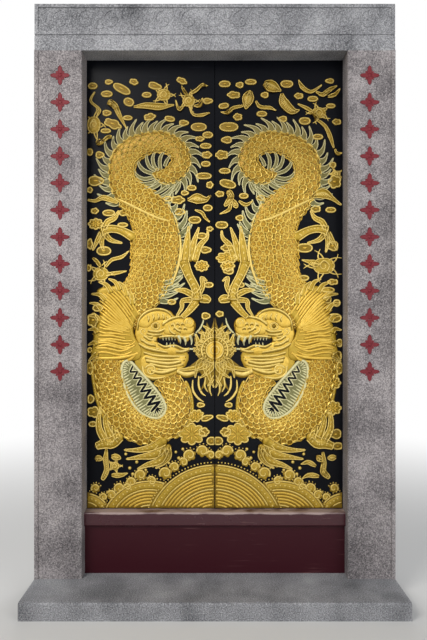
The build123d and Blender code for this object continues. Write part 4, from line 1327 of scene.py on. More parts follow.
def bead_template(finish: Material) -> Piece:
    """Make one half-round bead of radius one, its crown along Z.

    Args:
        finish: Material.

    Returns:
        The template.
    """
    turns = 10
    corners = [(0.0, 0.0, 1.0)]
    for level in (0.38, 0.80, 1.15, 1.45):
        for turn in range(turns):
            angle = 2 * math.pi * turn / turns
            x, y = around((0.0, 0.0), math.sin(level), math.sin(level), angle)
            corners.append((x, y, math.cos(level)))
    faces: List[Tuple[int, ...]] = [(0, 1 + turn, 1 + (turn + 1) % turns) for turn in range(turns)]
    for start in range(1, 1 + 3 * turns, turns):
        for turn in range(turns):
            after = (turn + 1) % turns
            faces.append((start + turn, start + turns + turn, start + turns + after, start + after))
    faces.append(tuple(range(1 + 3 * turns, 1 + 4 * turns)))
    template = solid("bead", corners, faces, finish)
    template.data.polygons.foreach_set("use_smooth", [True] * len(faces))
    return template


def rounded(
    edge: np.ndarray, columns: np.ndarray, rows: np.ndarray, crown: float, ease: float, rim: float
) -> np.ndarray:
    """Find the height of a rounded form at spots inside it.

    Args:
        edge: Closed outline.
        columns: Columns of the spots.
        rows: Rows of the spots.
        crown: Full height in metres.
        ease: Distance from the outline, in columns, at which it is reached.
        rim: Share of the height at the outline.

    Returns:
        The heights in metres.
    """
    reach = np.clip(edge_distance(edge, columns, rows) / ease, 0.0, 1.0)
    return crown * (rim + (1 - rim) * np.sqrt(1 - (1 - reach) ** 2))


class HeightField:
    """Height of the relief over the leaf, so that lines lie on what carries them."""

    left, right, top, foot = 86, 217, 58, 510
    fineness = 2

    def __init__(self) -> None:
        """Start with bare boards, at half-column spacing."""
        across = np.arange(self.left * self.fineness, self.right * self.fineness) / self.fineness
        down = np.arange(self.top * self.fineness, self.foot * self.fineness) / self.fineness
        self.columns, self.rows = np.meshgrid(across, down)
        self.heights = np.zeros(self.columns.shape)

    def sample(self, column: float, row: float) -> Tuple[int, int]:
        """Number of the nearest sample, across and down."""
        return int(round((column - self.left) * self.fineness)), int(round((row - self.top) * self.fineness))

    def at(self, column: float, row: float) -> float:
        """Height in metres at a spot of the drawing."""
        across, down = self.sample(column, row)
        deep, wide = self.heights.shape
        return float(self.heights[min(max(down, 0), deep - 1), min(max(across, 0), wide - 1)])

    def raise_dome(self, edge: np.ndarray, crown: float, ease: float, rim: float) -> None:
        """Enter a rounded form.

        Args:
            edge: Closed outline.
            crown: Full height in metres.
            ease: Distance from the outline, in columns, at which it is reached.
            rim: Share of the height at the outline.
        """
        near = (self.columns > edge[:, 0].min()) & (self.columns < edge[:, 0].max())
        near &= (self.rows > edge[:, 1].min()) & (self.rows < edge[:, 1].max())
        columns, rows = self.columns[near], self.rows[near]
        heights = np.where(inside(edge, columns, rows), rounded(edge, columns, rows, crown, ease, rim), 0.0)
        self.heights[near] = np.maximum(self.heights[near], heights)

    def raise_section(self, station: Sequence[float], heading: Sequence[float], crown: float) -> None:
        """Enter one rounded section of a band.

        Args:
            station: Column, row and width of the band.
            heading: Direction of the band, across and down.
            crown: Height of its middle in metres.
        """
        column, row, width = station
        for share in np.linspace(-1, 1, 2 * int(width) + 3):
            x, y = self.sample(*beside(column, row, *heading, share * width / 2))
            height = crown * math.sqrt(max(0.0, 1 - share * share))
            window = self.heights[max(y - 1, 0):y + 2, max(x - 1, 0):x + 2]
            np.maximum(window, height, out=window)


@dataclass
class Relief:
    """Carving ground of one leaf: places forms and strokes, and keeps the height of what is there.

    Widths are in columns, the deepest seat below the boards' face in metres.
    """

    drawing: Drawing
    side: Side
    strokes: StrokeTree
    patterns: PatternTree
    finishes: Dict[Finish, Material]
    ground: HeightField = field(default_factory=HeightField)
    least_width: float = 0.5
    deepest: float = -0.001
    blunt_width: float = 1.6

    def own(self, column: float) -> float:
        """Column of this leaf's own forms, counted on the left leaf."""
        return 2 * MEETING_COLUMN - column if self.side.mirrored else column

    def spot(self, column: float, row: float, lift: float) -> Vector:
        """Place on this leaf."""
        return self.drawing.spot(column, row, self.side.mirrored, lift)

    def dome(
        self, outline: Sequence[Sequence[float]], crown: float, ease: float, finish: Finish, rim: float,
        spacing: float = 1.3,
    ) -> Piece:
        """Carve a rounded closed form over an outline.

        Args:
            outline: Closed outline in columns and rows.
            crown: Full height above the boards in metres.
            ease: Distance from the outline, in columns, at which the full height is reached.
            finish: Finish.
            rim: Share of the height at the outline.
            spacing: Distance between inner points in columns.

        Returns:
            The piece.
        """
        edge = in_field(np.asarray(outline, float))
        edge = edge[np.hypot(*(edge - np.roll(edge, 1, axis=0)).T) > 0.05]
        low, high = edge.min(axis=0), edge.max(axis=0)
        columns, rows = np.meshgrid(*(np.arange(low[a], high[a] + spacing, spacing) for a in (0, 1)))
        columns[1::2] += spacing / 2
        clear = inside(edge, columns, rows) & (edge_distance(edge, columns, rows) > 0.4 * spacing)
        points = [Vector(spot) for spot in (*edge, *zip(columns[clear], rows[clear]))]
        flat = delaunay_2d_cdt(points, [], [list(range(len(edge)))], 1, 1e-4, False)
        spots = np.array([tuple(spot) for spot in flat[0]])
        heights = rounded(edge, spots[:, 0], spots[:, 1], crown, ease, rim)
        corners = [self.spot(*spot, height) for spot, height in zip(spots, heights)]
        count = len(corners)
        corners += [self.spot(*spot, 0.0) for spot in spots]
        centres = np.array([spots[list(face)].mean(axis=0) for face in flat[2]])
        within = inside(edge, centres[:, 0], centres[:, 1])
        top = [tuple(face) for face, kept in zip(flat[2], within) if kept]
        sides = {pair: None for face in top for pair in zip(face, face[1:] + face[:1])}
        walls = [(b, a, a + count, b + count) for a, b in sides if (b, a) not in sides]
        base = [tuple(index + count for index in face[::-1]) for face in top]
        self.ground.raise_dome(edge, crown, ease, rim)
        return solid("form", corners, top + walls + base, self.finishes[finish], 50.0)

    def lifted(self, stroke: Stroke, seat: float) -> List[Tuple[Vector, float]]:
        """Lay a stroke on what is already carved.

        Args:
            stroke: Column, row and width of each station.
            seat: Depth in metres by which it sits in its ground.

        Returns:
            Places and half widths in metres.
        """
        heights = np.array([self.ground.at(column, row) for column, row, _ in stroke])
        padded = np.pad(heights, 2, mode="edge")
        eased = sum(padded[shift:shift + len(heights)] for shift in range(5)) / 5
        lifts = np.maximum(eased, heights * 0.85) - seat
        return [
            (self.spot(column, row, max(lift, self.deepest)), max(width, self.least_width) * STEP / 2)
            for (column, row, width), lift in zip(stroke, lifts)
        ]

    def carve(
        self, strokes: Sequence[Stroke], finish: Finish, rise: float, seat: float, closed: bool = False,
        steps: int = 3,
    ) -> Piece:
        """Carve strokes of the drawing as one piece.

        Args:
            strokes: Column, row and width of each station.
            finish: Finish.
            rise: Height for a half width of one.
            seat: Depth in metres by which they sit in their ground.
            closed: True where each stroke runs back to its start.
            steps: Pieces between two stations.

        Returns:
            The piece.
        """
        placed = []
        for stroke in strokes:
            course = [tuple(station) for station in smooth_course(stroke, 1 if closed else steps)]
            for length in [course] if closed else map(self.round_ends, runs(course, shows)):
                placed.append(self.lifted(length, seat))
        return self.strokes.carve(placed, rise, self.finishes[finish], closed)

    def round_ends(self, stroke: Stroke) -> Stroke:
        """Add a narrower station at each blunt end.

        Args:
            stroke: Column, row and width of each station.

        Returns:
            The longer stroke.
        """
        longer = list(stroke)
        for end, inward in ((0, 1), (-1, -2)):
            column, row, width = longer[end]
            across, down = column - longer[inward][0], row - longer[inward][1]
            run = math.hypot(across, down)
            if width > self.blunt_width and run > 0.01:
                share = 0.3 * width / run
                tip = (column + across * share, row + down * share, width * 0.45)
                longer.insert(0 if end == 0 else len(longer), tip)
        return longer

    def outlined(
        self, strokes: Sequence[Stroke], fill: Finish, rim: Finish, rise: float, rim_width: float = 1.25
    ) -> List[Piece]:
        """Carve strokes with a pale line along both edges.

        Args:
            strokes: Column, row and width of each station.
            fill: Finish of the strokes.
            rim: Finish of the lines.
            rise: Height for a half width of one.
            rim_width: Width of the lines in columns.

        Returns:
            The strokes and the lines.
        """
        body = self.carve(strokes, fill, rise, 0.001)
        rims: List[Stroke] = []
        for stroke in strokes:
            course = smooth_course(stroke, 3)
            headings = directions(course)
            for station, heading in zip(course, headings):
                crown = self.ground.at(station[0], station[1]) + station[2] * STEP / 2 * rise
                self.ground.raise_section(station, heading, crown)
            aside = np.stack([-headings[:, 1], headings[:, 0]], axis=1) * (course[:, 2:] * 0.43)
            loop = np.vstack([course[:, :2] + aside, course[::-1, :2] - aside[::-1]])
            rims.extend(runs([(column, row, rim_width) for column, row in loop], shows))
        return [body, self.carve(rims, rim, 1.0, 0.0006, steps=1)]

    def finish_piece(self, name: str, parts: Sequence[Piece], packed: bool = True) -> None:
        """Join the parts of a piece, hold it inside the carved part of its leaf and set it there.

        Args:
            name: Name without the side.
            parts: Parts to join.
            packed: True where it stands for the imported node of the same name.
        """
        full_name = f"{self.side.value}_{name}"
        piece = join(full_name, parts)
        mesh = piece.data
        spots = np.zeros(len(mesh.vertices) * 3, np.float32)
        mesh.vertices.foreach_get("co", spots)
        spots = spots.reshape(-1, 3)
        outer, inner = ((MEETING_COLUMN - limit) * STEP for limit in (LEFT_LIMIT, RIGHT_LIMIT))
        sign = 1.0 if self.side.mirrored else -1.0
        spots[:, 0] = sign * np.clip(sign * spots[:, 0], inner, outer)
        spots[:, 2] = np.clip(spots[:, 2], self.drawing.level(FOOT_LIMIT), self.drawing.level(TOP_LIMIT))
        mesh.vertices.foreach_set("co", spots.ravel())
        mesh.update()
        settle(piece, f"{self.side.value}_leaf", [full_name] if packed else [])


@dataclass
class Dragon:
    """The long dragon of one leaf, with its half of the pearl.

    Crowns, the head's ground and the scales' sizes are in metres, all other lengths in columns.
    """

    relief: Relief
    body_crown: float = 0.026
    low_share: float = 0.4
    full_width: float = 40.0
    sink: float = 0.62
    scale_along: float = 0.0255
    scale_across: float = 0.0350
    scale_height: float = 0.0098
    claw_rise: float = 0.62
    limb_width: float = 9.0
    spine_root: float = 7.4
    spine_length: float = 16.0
    head_ground: float = 0.022
    snout_crown: float = 0.029
    mane_crown: float = 0.021
    lock_pitch: float = 3.5
    pearl_crown: float = 0.026
    flame_reach: float = 46.0
    slots: int = 13
    rib_pitch: float = 2.9
    head_outlines: List[np.ndarray] = field(default_factory=list)

    def build(self) -> None:
        """Build every piece of the dragon."""
        relief = self.relief
        self.head_outlines = [smooth_course(shape, 3, True) for shape in (MANE, FACE, JAW)]
        lengths = {"dragon_body": UPPER_COURSE, "dragon_loop": LOWER_COURSE}
        bodies = {name: self.length_of_body(points) for name, points in lengths.items()}
        for name, body in bodies.items():
            relief.finish_piece(name, [body])
        scales = self.scales(UPPER_COURSE) + self.scales(LOWER_COURSE)
        template = scale_template(relief.finishes[Finish.GOLD])
        relief.finish_piece("dragon_scales", [relief.patterns.set_out(scales, template, 0.05, 3)], False)
        self.mane()
        self.head()
        self.crests()
        self.claws()
        self.belly()
        self.pearl()

    def course(self, points: Sequence[Station], steps: int) -> Tuple[np.ndarray, np.ndarray, np.ndarray]:
        """Follow a course, which sinks under the mane and head.

        Args:
            points: Column, row and width of the drawn stations.
            steps: Pieces between two of them.

        Returns:
            Stations, headings and heights.
        """
        stations = smooth_course(points, steps)
        covered = np.zeros(len(stations))
        for outline in self.head_outlines:
            covered = np.maximum(covered, inside(outline, stations[:, 0], stations[:, 1]).astype(float))
        padded = np.pad(covered, steps, mode="edge")
        span = 2 * steps + 1
        sunk = sum(padded[shift:shift + len(covered)] for shift in range(span)) / span
        full = np.minimum(1.0, stations[:, 2] / self.full_width)
        crowns = self.body_crown * (self.low_share + (1 - self.low_share) * full) * (1 - self.sink * sunk)
        return stations, directions(stations), crowns

    def length_of_body(self, points: Sequence[Station]) -> Piece:
        """Make a half-round length of the body.

        Args:
            points: Its course.

        Returns:
            The piece.
        """
        relief = self.relief
        stations, headings, crowns = self.course(points, 6)
        section = Profile.BODY.value
        corners = []
        for station, heading, crown in zip(stations, headings, crowns):
            for across, up in section:
                spot = beside(station[0], station[1], *heading, across * station[2] / 2)
                corners.append(relief.spot(*spot, up * crown))
            relief.ground.raise_section(station, heading, crown)
        count = len(section)
        faces: List[Tuple[int, ...]] = []
        for start in range(0, len(corners) - count, count):
            for corner in range(count):
                after = (corner + 1) % count
                faces.append((start + corner, start + after, start + count + after, start + count + corner))
        faces.append(tuple(range(count)))
        faces.append(tuple(range(len(corners) - 1, len(corners) - 1 - count, -1)))
        return solid("length", corners, faces, relief.finishes[Finish.AMBER], 60.0)

    def scales(self, points: Sequence[Station]) -> List[Copy]:
        """Place the scales over a length of the body, overlapping towards the tail.

        Args:
            points: Its course.

        Returns:
            Place, outward direction, aim and size of each scale.
        """
        stations, headings, crowns = self.course(points, 12)
        steps = np.hypot(*np.diff(stations[:, :2], axis=0).T) * STEP
        travelled = np.concatenate([[0.0], np.cumsum(steps)])
        hand = -1.0 if self.relief.side.mirrored else 1.0
        places = []
        for line, distance in enumerate(np.arange(0.01, travelled[-1], self.scale_along)):
            index = int(np.searchsorted(travelled, distance))
            (column, row, width), (along, down), crown = stations[index], headings[index], crowns[index]
            half = width * STEP / 2
            girth = math.pi * math.sqrt((half * half + crown * crown) / 2) * 0.92
            number = max(2, round(girth / self.scale_across))
            for turn in range(number + line % 2):
                angle = math.pi * (turn + 0.5 * (1 - line % 2) + 0.25) / (number + 0.5)
                reach = math.cos(angle)
                spot = (column + down * reach * width / 2, row - along * reach * width / 2)
                hidden = any(holds(shape, *spot) for shape in self.head_outlines)
                if hidden or not 0.10 < angle < math.pi - 0.10:
                    continue
                push = reach / half
                out = Vector((hand * down * push, -math.sin(angle) / crown, along * push)).normalized()
                aim = Vector((-hand * along, 0.0, down))
                taper = min(1.0, 0.55 + width / 36)
                length = self.scale_along * 1.4 * taper
                size = Vector((length, girth / number * 1.06, self.scale_height * taper))
                places.append((self.relief.spot(*spot, crown * math.sin(angle) - 0.0006), out, aim, size))
        return places

    def mane(self) -> None:
        """Mane as a ground with locks between the drawn strands."""
        relief = self.relief
        ground = relief.dome(self.head_outlines[0], self.mane_crown, 6.0, Finish.OLIVE, 0.45)
        dice = random.Random(17)
        second, first, *others = MANE_STRANDS
        order = [CROWN_LOCK, first, second, *others, NAPE_LOCK]
        locks = []
        for above, below in zip(order, order[1:]):
            one, two = smooth_course(above, 4), smooth_course(below, 4)
            apart = math.hypot(*(one[0, :2] - two[0, :2]))
            for share in np.linspace(0, 1, max(2, round(apart / self.lock_pitch)), endpoint=False):
                lock = one * (1 - share) + two * share
                phase = 0.42 * len(locks) + dice.uniform(-0.4, 0.4)
                wave = np.sin(np.linspace(0, 2.2 * math.pi, len(lock)) + phase) * 1.7
                lock[:, 1] += wave
                lock[:, 0] += wave * 0.6
                lock[:, 2] = np.interp(np.linspace(0, 1, len(lock)), [0, 0.2, 0.6, 1], [1.5, 3.3, 3.0, 1.5])
                reach = len(lock) if len(locks) % 2 else round(len(lock) * 0.88)
                locks.append([tuple(station) for station in lock[dice.randrange(2):reach:2]])
        tips = []
        for column, row, to_column, to_row in MANE_TIPS:
            middle = ((column + to_column) / 2 + 1.5, (row + to_row) / 2 - 2.0, 3.8)
            tips.append([(column, row, 4.8), middle, (to_column, to_row, 0.8)])
        hair = relief.carve([*locks, NAPE_LOCK, CHIN_LOCK], Finish.GOLD, 0.85, 0.002)
        ends = relief.outlined(tips, Finish.OLIVE, Finish.PALE_GOLD, 0.75)
        relief.finish_piece("dragon_mane", [ground, hair, *ends])

    def head(self) -> None:
        """Face, jaw, eye, teeth and beard."""
        relief = self.relief
        _, face, jaw = self.head_outlines
        parts = [
            relief.dome(outline, crown, ease, finish, rim, spacing)
            for outline, crown, ease, finish, rim, spacing in (
                (smooth_course(THROAT, 2, True), 0.013, 5.0, Finish.OLIVE, 0.6, 1.8),
                (jaw, 0.019, 7.0, Finish.GOLD, 0.45, 1.1),
                (face, self.head_ground, 7.0, Finish.GOLD, 0.4, 1.0),
                (smooth_course(BROW, 3, True), 0.031, 6.0, Finish.GOLD, 0.62, 0.9),
                (smooth_course(SNOUT, 3, True), self.snout_crown, 7.0, Finish.GOLD, 0.6, 0.9),
                (circle_outline(189, 323, 6.0, 18), 0.033, 5.0, Finish.GOLD, 0.75, 0.9),
            )
        ]
        ring = [around(EYE, 3.9, 3.2, a, 1.5) for a in np.linspace(0, 2 * math.pi, 12, endpoint=False)]
        parts.append(relief.carve([ring], Finish.PALE_GOLD, 1.2, 0.0005, True))
        eye = circle_outline(*EYE, 2.1, 12)
        parts.append(relief.dome(eye, 0.031, 2.1, Finish.AMBER, 0.7, 0.8))
        lines = FACE_LINES + JAW_STRANDS + BEARD_LINES
        lines += [
            [(c, r, 1.2), (c + 1.4, r + 2.8, 1.6), (c + 0.6, r + 5.6, 1.0)]
            for c, r in ((148, 315), (153, 313.5), (158, 313), (163, 313.5), (167, 315.5))
        ]
        lines += [
            [(c - 1.8, r - 1.2, 1.2), (c, r - 2.2, 1.8), (c + 1.8, r - 1.0, 1.2)]
            for c, r in ((173, 326), (178, 325), (183, 325), (175.5, 329.5), (180.5, 329), (185.5, 329.5))
        ]
        lines += [
            tick(c, r, 2.2, 0.0, 1.0, 1.0, 1.8)
            for c, r in (
                (146, 335.5), (151, 336), (143.5, 339.5), (152, 343.5), (146.5, 346.5), (158, 347.5)
            )
        ]
        # Painted shadow: a thin dark amber line just below each of the head's lines.
        shades = [[(c + 0.3, r + 1.5, 0.9 * w) for c, r, w in line] for line in lines[:-1]]
        curls = [
            spiral(*CHEEK_SPIRAL, 10.0, 1.5, 200, 2.4),
            spiral(190, 322, 6.0, 1.2, 150, 1.6), spiral(144, 331, 6.0, 1.1, 90, 1.6),
        ]
        teeth = [
            [(c, 336.0, 2.2), (c + 0.2, 338, 1.8), (c + 0.4, 340.4, 0.6)] for c in (163, 166, 169, 172, 175)
        ]
        teeth += FANGS
        teeth += [[(c, 346.6, 2.0), (c, 344.6, 1.6), (c, 342.4, 0.6)] for c in (167, 170.5, 174)]
        parts.append(relief.carve(shades, Finish.AMBER, 0.35, 0.0))
        parts.append(relief.carve(lines, Finish.PALE_GOLD, 0.8, 0.001))
        parts.append(relief.carve(curls, Finish.PALE_GOLD, 1.0, 0.0008))
        parts.append(relief.carve(teeth + WHISKERS, Finish.CREST, 0.8, 0.0005))
        relief.finish_piece("dragon_head", parts)

    def claws(self) -> None:
        """Legs, fingers and flame tufts, each with a carved line beside it."""
        relief = self.relief
        limbs = [claw for claw in CLAWS if claw[0][2] >= self.limb_width]
        tufts = [claw for claw in CLAWS if claw[0][2] < self.limb_width]
        broad = [[(column, row, width * 1.12) for column, row, width in claw] for claw in limbs + tufts]
        parts = relief.outlined(broad, Finish.OLIVE, Finish.PALE_GOLD, self.claw_rise, 1.4)
        grooves = [
            [(column, row, max(0.7, width * 0.22)) for column, row, width in smooth_course(claw, 2)]
            for claw in tufts
        ]
        grooves += [
            tick(column, row, width * 0.27, width * 0.2, -width * 0.12, 1.2, 1.6)
            for claw in limbs for column, row, width in smooth_course(claw, 3)[1:-1]
        ]
        parts.append(relief.carve(grooves, Finish.PALE_GOLD, 0.8, -0.0008))
        relief.finish_piece("dragon_claws", parts)

    def spines(self, stretch: Tuple[float, float], side: float) -> List[Stroke]:
        """Draw curved spines along one edge of the upper body, swept back towards the tail.

        Args:
            stretch: First and last station of the edge.
            side: 1 or -1 for the edge.

        Returns:
            The spines.
        """
        stations, headings, _ = self.course(UPPER_COURSE, 3)
        found = []
        for index in range(round(stretch[0] * 3), round(stretch[1] * 3)):
            (column, row, width), (along, down) = stations[index], headings[index]
            reach = self.spine_length if index % 2 == 0 else self.spine_length * 0.72
            out = (-down * side, along * side)
            root = (column + out[0] * (width * 0.5 + 0.8), row + out[1] * (width * 0.5 + 0.8))
            widths = (self.spine_root, 0.66 * self.spine_root, 2.3, 0.6)
            spine = []
            for share, broad in zip((0.0, 0.3, 0.65, 1.0), widths):
                rise = reach * 0.78 * share ** 0.8
                back = reach * 0.66 * share ** 1.8
                x = root[0] + out[0] * rise - along * back
                y = root[1] + out[1] * rise - down * back
                spine.append((x, y, broad))
            found.append(spine)
        return found

    def crests(self) -> None:
        """Crest spines and the rays of the tail."""
        relief = self.relief
        spines = self.spines(COIL_CREST, 1) + self.spines(TRUNK_CREST, -1)
        flames = [[(c, r, 1.5 * w if w > 1 else w) for c, r, w in flame] for flame in CREST_FLAMES]
        parts = relief.outlined(spines, Finish.WEB, Finish.CREST, 0.45)
        parts += relief.outlined(TAIL_RAYS, Finish.WEB, Finish.CREST, 0.6, 1.0)
        parts += relief.outlined(flames, Finish.WEB, Finish.CREST, 0.6)
        bands, dashes = self.scutes()
        parts.append(relief.carve(bands, Finish.OLIVE, 0.7, 0.001))
        parts.append(relief.carve(dashes, Finish.PALE_GOLD, 0.9, -0.0012, steps=1))
        parts.append(relief.carve(self.edges(), Finish.PALE_GOLD, 0.9, 0.001))
        parts.append(relief.carve(RIDGES, Finish.PALE_GOLD, 0.9, -0.0035))
        relief.finish_piece("dragon_crest", parts)

    def scutes(self) -> Tuple[List[Stroke], List[Stroke]]:
        """Draw the bands along the outer edge of the loop.

        Returns:
            The bands, and the short dashes on them.
        """
        stations, headings, _ = self.course(LOWER_COURSE, 4)
        bands, dashes = [], []
        for first, last in (LOOP_OUTER_CREST, LOOP_RISING_CREST):
            band = []
            for index in range(round(first * 4), round(last * 4)):
                (column, row, width), (along, down) = stations[index], headings[index]
                x, y = beside(column, row, along, down, -(width / 2 + 2.4))
                band.append((x, y, 3.6))
                ends = [(x + along * reach, y + down * reach, 1.5) for reach in (-1.5, 1.5)]
                dashes.append([ends[0], (x, y, 2.2), ends[1]])
            bands.append(band)
        return bands, dashes

    def edges(self) -> List[Stroke]:
        """Draw pale lines along both edges of the body, where the head doesn't cover them.

        Returns:
            The lines.
        """
        found = []
        for points in (UPPER_COURSE, LOWER_COURSE):
            stations, headings, _ = self.course(points, 4)
            for side in (-1, 1):
                line = [
                    (*beside(column, row, along, down, -(width / 2 + 0.3) * side), 1.7)
                    for (column, row, width), (along, down) in zip(stations, headings)
                ]
                for outline in self.head_outlines:
                    line = max(runs(line, lambda x, y: not holds(outline, x, y)), key=len)
                found.append(line)
        return found

    def belly(self) -> None:
        """Eye of the lower loop: a pale rim and teeth on both sides of a zigzag slot."""
        relief = self.relief
        outline = smooth_course(BELLY_WINDOW, 3, True)
        (start_column, start_row), (end_column, end_row) = BELLY_AXIS
        run = math.hypot(end_column - start_column, end_row - start_row)
        along, down = (end_column - start_column) / run, (end_row - start_row) / run

        def on_axis(place: float) -> Tuple[float, float]:
            """Spot on the slot's axis."""
            return start_column + along * place, start_row + down * place

        slots = []
        for tooth in range(self.slots):
            middle = run * (tooth + 0.5) / self.slots
            half = run * 0.5 / self.slots
            swing = (3.0 + 3.6 * tooth / self.slots) * (1 if tooth % 2 == 0 else -1)
            broad = 1.8 + 0.8 * tooth / self.slots
            one = beside(*on_axis(middle - half), along, down, swing)
            two = beside(*on_axis(middle + half), along, down, -swing)
            between = ((one[0] + two[0]) / 2, (one[1] + two[1]) / 2, 2.4 + 1.4 * tooth / self.slots)
            slots.append([(*one, broad), between, (*two, broad)])
        ribs = []
        loop = np.vstack([outline, outline[:1]])
        travelled = np.concatenate([[0.0], np.cumsum(np.hypot(*np.diff(loop, axis=0).T))])
        spots = np.arange(0.0, travelled[-1], self.rib_pitch)
        for column, row in zip(*(np.interp(spots, travelled, loop[:, axis]) for axis in (0, 1))):
            share = (column - start_column) * along + (row - start_row) * down
            foot = on_axis(min(max(share, 2.0), run - 2.0))
            depth = 0.62 if len(ribs) % 2 else 0.46
            ribs.append([
                (column + (foot[0] - column) * reach, row + (foot[1] - row) * reach, broad)
                for reach, broad in ((0.1, 2.0), (0.6 * depth, 1.5), (depth, 0.6))
            ])
        for turn in (-0.9, -0.3, 0.3, 0.9):
            spread = math.atan2(down, along) + turn
            fan = [(end_column - 3 * along, end_row - 3 * down, 1.6)]
            for reach, broad in ((1.5, 1.9), (6, 1.2)):
                fan.append(around(BELLY_AXIS[1], reach, reach, spread, broad))
            slots.append(fan)
        rims = [[(c, r, w + 1.8) for c, r, w in slot] for slot in slots]
        relief.finish_piece("dragon_belly_crest", [
            relief.dome(outline, 0.0075, 3.0, Finish.WEB, 0.9, 2.5),
            relief.carve([[(*spot, 3.2) for spot in outline]], Finish.CREST, 0.9, -0.002, True),
            relief.carve(ribs, Finish.CREST, 0.7, 0.0008),
            relief.carve(rims, Finish.CREST, 0.3, 0.0012),
            relief.carve(slots, Finish.BLACK, 0.35, -0.0007),
        ])

    def pearl(self) -> None:
        """Half of the pearl and its flames."""
        relief = self.relief
        column, row, radius = PEARL
        flame = np.array(PEARL_FLAME + [(215, 350)], float)
        ground = relief.dome(flame, 0.008, 3.0, Finish.AMBER, 0.6)
        tongues = []
        for number, angle in enumerate(np.radians(np.arange(92, 272, 8.5))):
            reach = radius
            while reach < self.flame_reach and holds(flame, *around(PEARL, reach, reach, angle)):
                reach += 0.7
            reach = max(reach, radius + 5) - 2.0 * (number % 2)
            tongue = []
            for share, broad in ((0.0, 4.6), (0.35, 4.2), (0.7, 2.8), (1.0, 0.7)):
                place = radius - 1 + (reach - radius + 1) * share
                bend = angle + 0.16 * math.sin(math.pi * 1.5 * share) * (1 if number % 2 else -1)
                tongue.append(around(PEARL, place, place, bend, broad))
            tongues.append(tongue)
        ball = relief.dome(
            circle_outline(column, row, radius, 36), self.pearl_crown, radius, Finish.GOLD, 0.3, 1.0
        )
        turns = np.linspace(math.pi / 2, 3 * math.pi / 2, 15)
        rings = [[around(PEARL, reach, reach, a, 1.8) for a in turns] for reach in (13.0, 8.4, 4.2)]
        relief.finish_piece("pearl_half", [
            ground, ball, *relief.outlined(tongues, Finish.OLIVE, Finish.PALE_GOLD, 0.75, 1.1),
            relief.carve(rings, Finish.PALE_GOLD, 0.9, 0.001),
            relief.carve(TENDRILS, Finish.PALE_GOLD, 0.8, 0.001),
        ])


@dataclass
class Sea:
    """Waves, foam and spray at the foot of one leaf. Lengths in columns, the plate in metres."""

    relief: Relief
    ridge_pitch: float = 3.1
    ridge_width: float = 2.3
    band_width: float = 6.4
    stud_pitch: float = 5.2
    froth_pitch: float = 3.3
    swell: float = 3.0
    plate: float = 0.008
    pale_rings: Tuple[int, ...] = (0, 2, 7)
    beads: List[Station] = field(default_factory=list)

    def build(self) -> None:
        """Build the waves and the foam."""
        self.waves()
        self.foam()

    def waves(self) -> None:
        """Mounds of concentric ridges, the middle one in front, with froth and studs along them."""
        relief = self.relief
        parts = []
        ahead: List[Station] = []
        pale: List[Stroke] = []
        plain: List[Stroke] = []
        band: List[Stroke] = []
        studs: List[Station] = []

        def clear(x: float, y: float) -> bool:
            """True outside the mounds in front."""
            return all(math.hypot(x - c, y - r) > reach + 1.2 for c, r, reach in ahead)

        for column, row, radius in WAVE_MOUNDS:
            outer = radius + self.swell
            parts.append(relief.dome(
                circle_outline(column, row, outer, 60), self.plate - 0.0012 * len(ahead), 4.0, Finish.AMBER,
                0.7, 3.0,
            ))
            for beads, pitch, reach, size in (
                (self.beads, self.froth_pitch, outer + 1.6, 1.7), (studs, self.stud_pitch, outer - 5.4, 2.3),
            ):
                for angle in np.arange(math.pi, 2 * math.pi, pitch / outer):
                    place = around((column, row), reach, reach, angle)
                    if clear(*place):
                        beads.append((*place, size))
            ridges = np.arange(outer - 9.6, 5.0, -self.ridge_pitch)
            for ring, reach in enumerate([outer - 1.2, outer - 5.4, *ridges]):
                turns = np.linspace(math.pi, 2 * math.pi, max(12, int(reach * 1.1)))
                light = ring in self.pale_rings
                broad = self.band_width if ring == 1 else self.ridge_width * (0.72 if light else 1.0)
                arc = [around((column, row), reach, reach, a, broad) for a in turns]
                found = [run for shown in runs(arc, shows) for run in runs(shown, clear)]
                (pale if light else band if ring == 1 else plain).extend(found)
            ahead.append((column, row, outer))
        self.beads += studs
        parts.append(relief.carve(band, Finish.OLIVE, 0.16, 0.0006, steps=1))
        parts.append(relief.carve(plain, Finish.GOLD, 0.62, 0.001, steps=1))
        parts.append(relief.carve(pale, Finish.PALE_GOLD, 0.85, 0.001, steps=1))
        relief.finish_piece("waves", parts)

    def foam(self) -> None:
        """Curls of foam with beads, and the drops above them."""
        relief = self.relief
        parts = []
        curls = []
        for index, (column, row, size) in enumerate(FOAM_CURLS):
            outline = lobed_outline(column, row, size, size, 20, 6)
            parts.append(relief.dome(outline, 0.009, size / 3, Finish.OLIVE, 0.5, 1.6))
            curls.append(spiral(column, row, size * 0.88, 1.15, 150 + 25 * (index % 3), 2.3))
            for turn in range(5):
                reach = size * 0.60
                self.beads.append(around((column, row), reach, reach, math.radians(215 + 30 * turn), 1.5))
        self.beads += [(column, row, 3.4) for column, row in SPRAY_DROPS]
        places = []
        for column, row, size in self.beads:
            if shows(column - 1.4, row) and shows(column + 1.4, row):
                radius = size * STEP / 2
                spot = relief.spot(column, row, max(0.0, relief.ground.at(column, row) - 0.0008))
                places.append((spot, TO_FRONT, TO_RIGHT, Vector((radius, radius, radius * 0.9))))
        template = bead_template(relief.finishes[Finish.PALE_GOLD])
        parts.append(relief.patterns.set_out(places, template, 0.15, 11))
        parts.append(relief.carve(curls, Finish.PALE_GOLD, 0.9, 0.001, steps=1))
        relief.finish_piece("foam", parts)


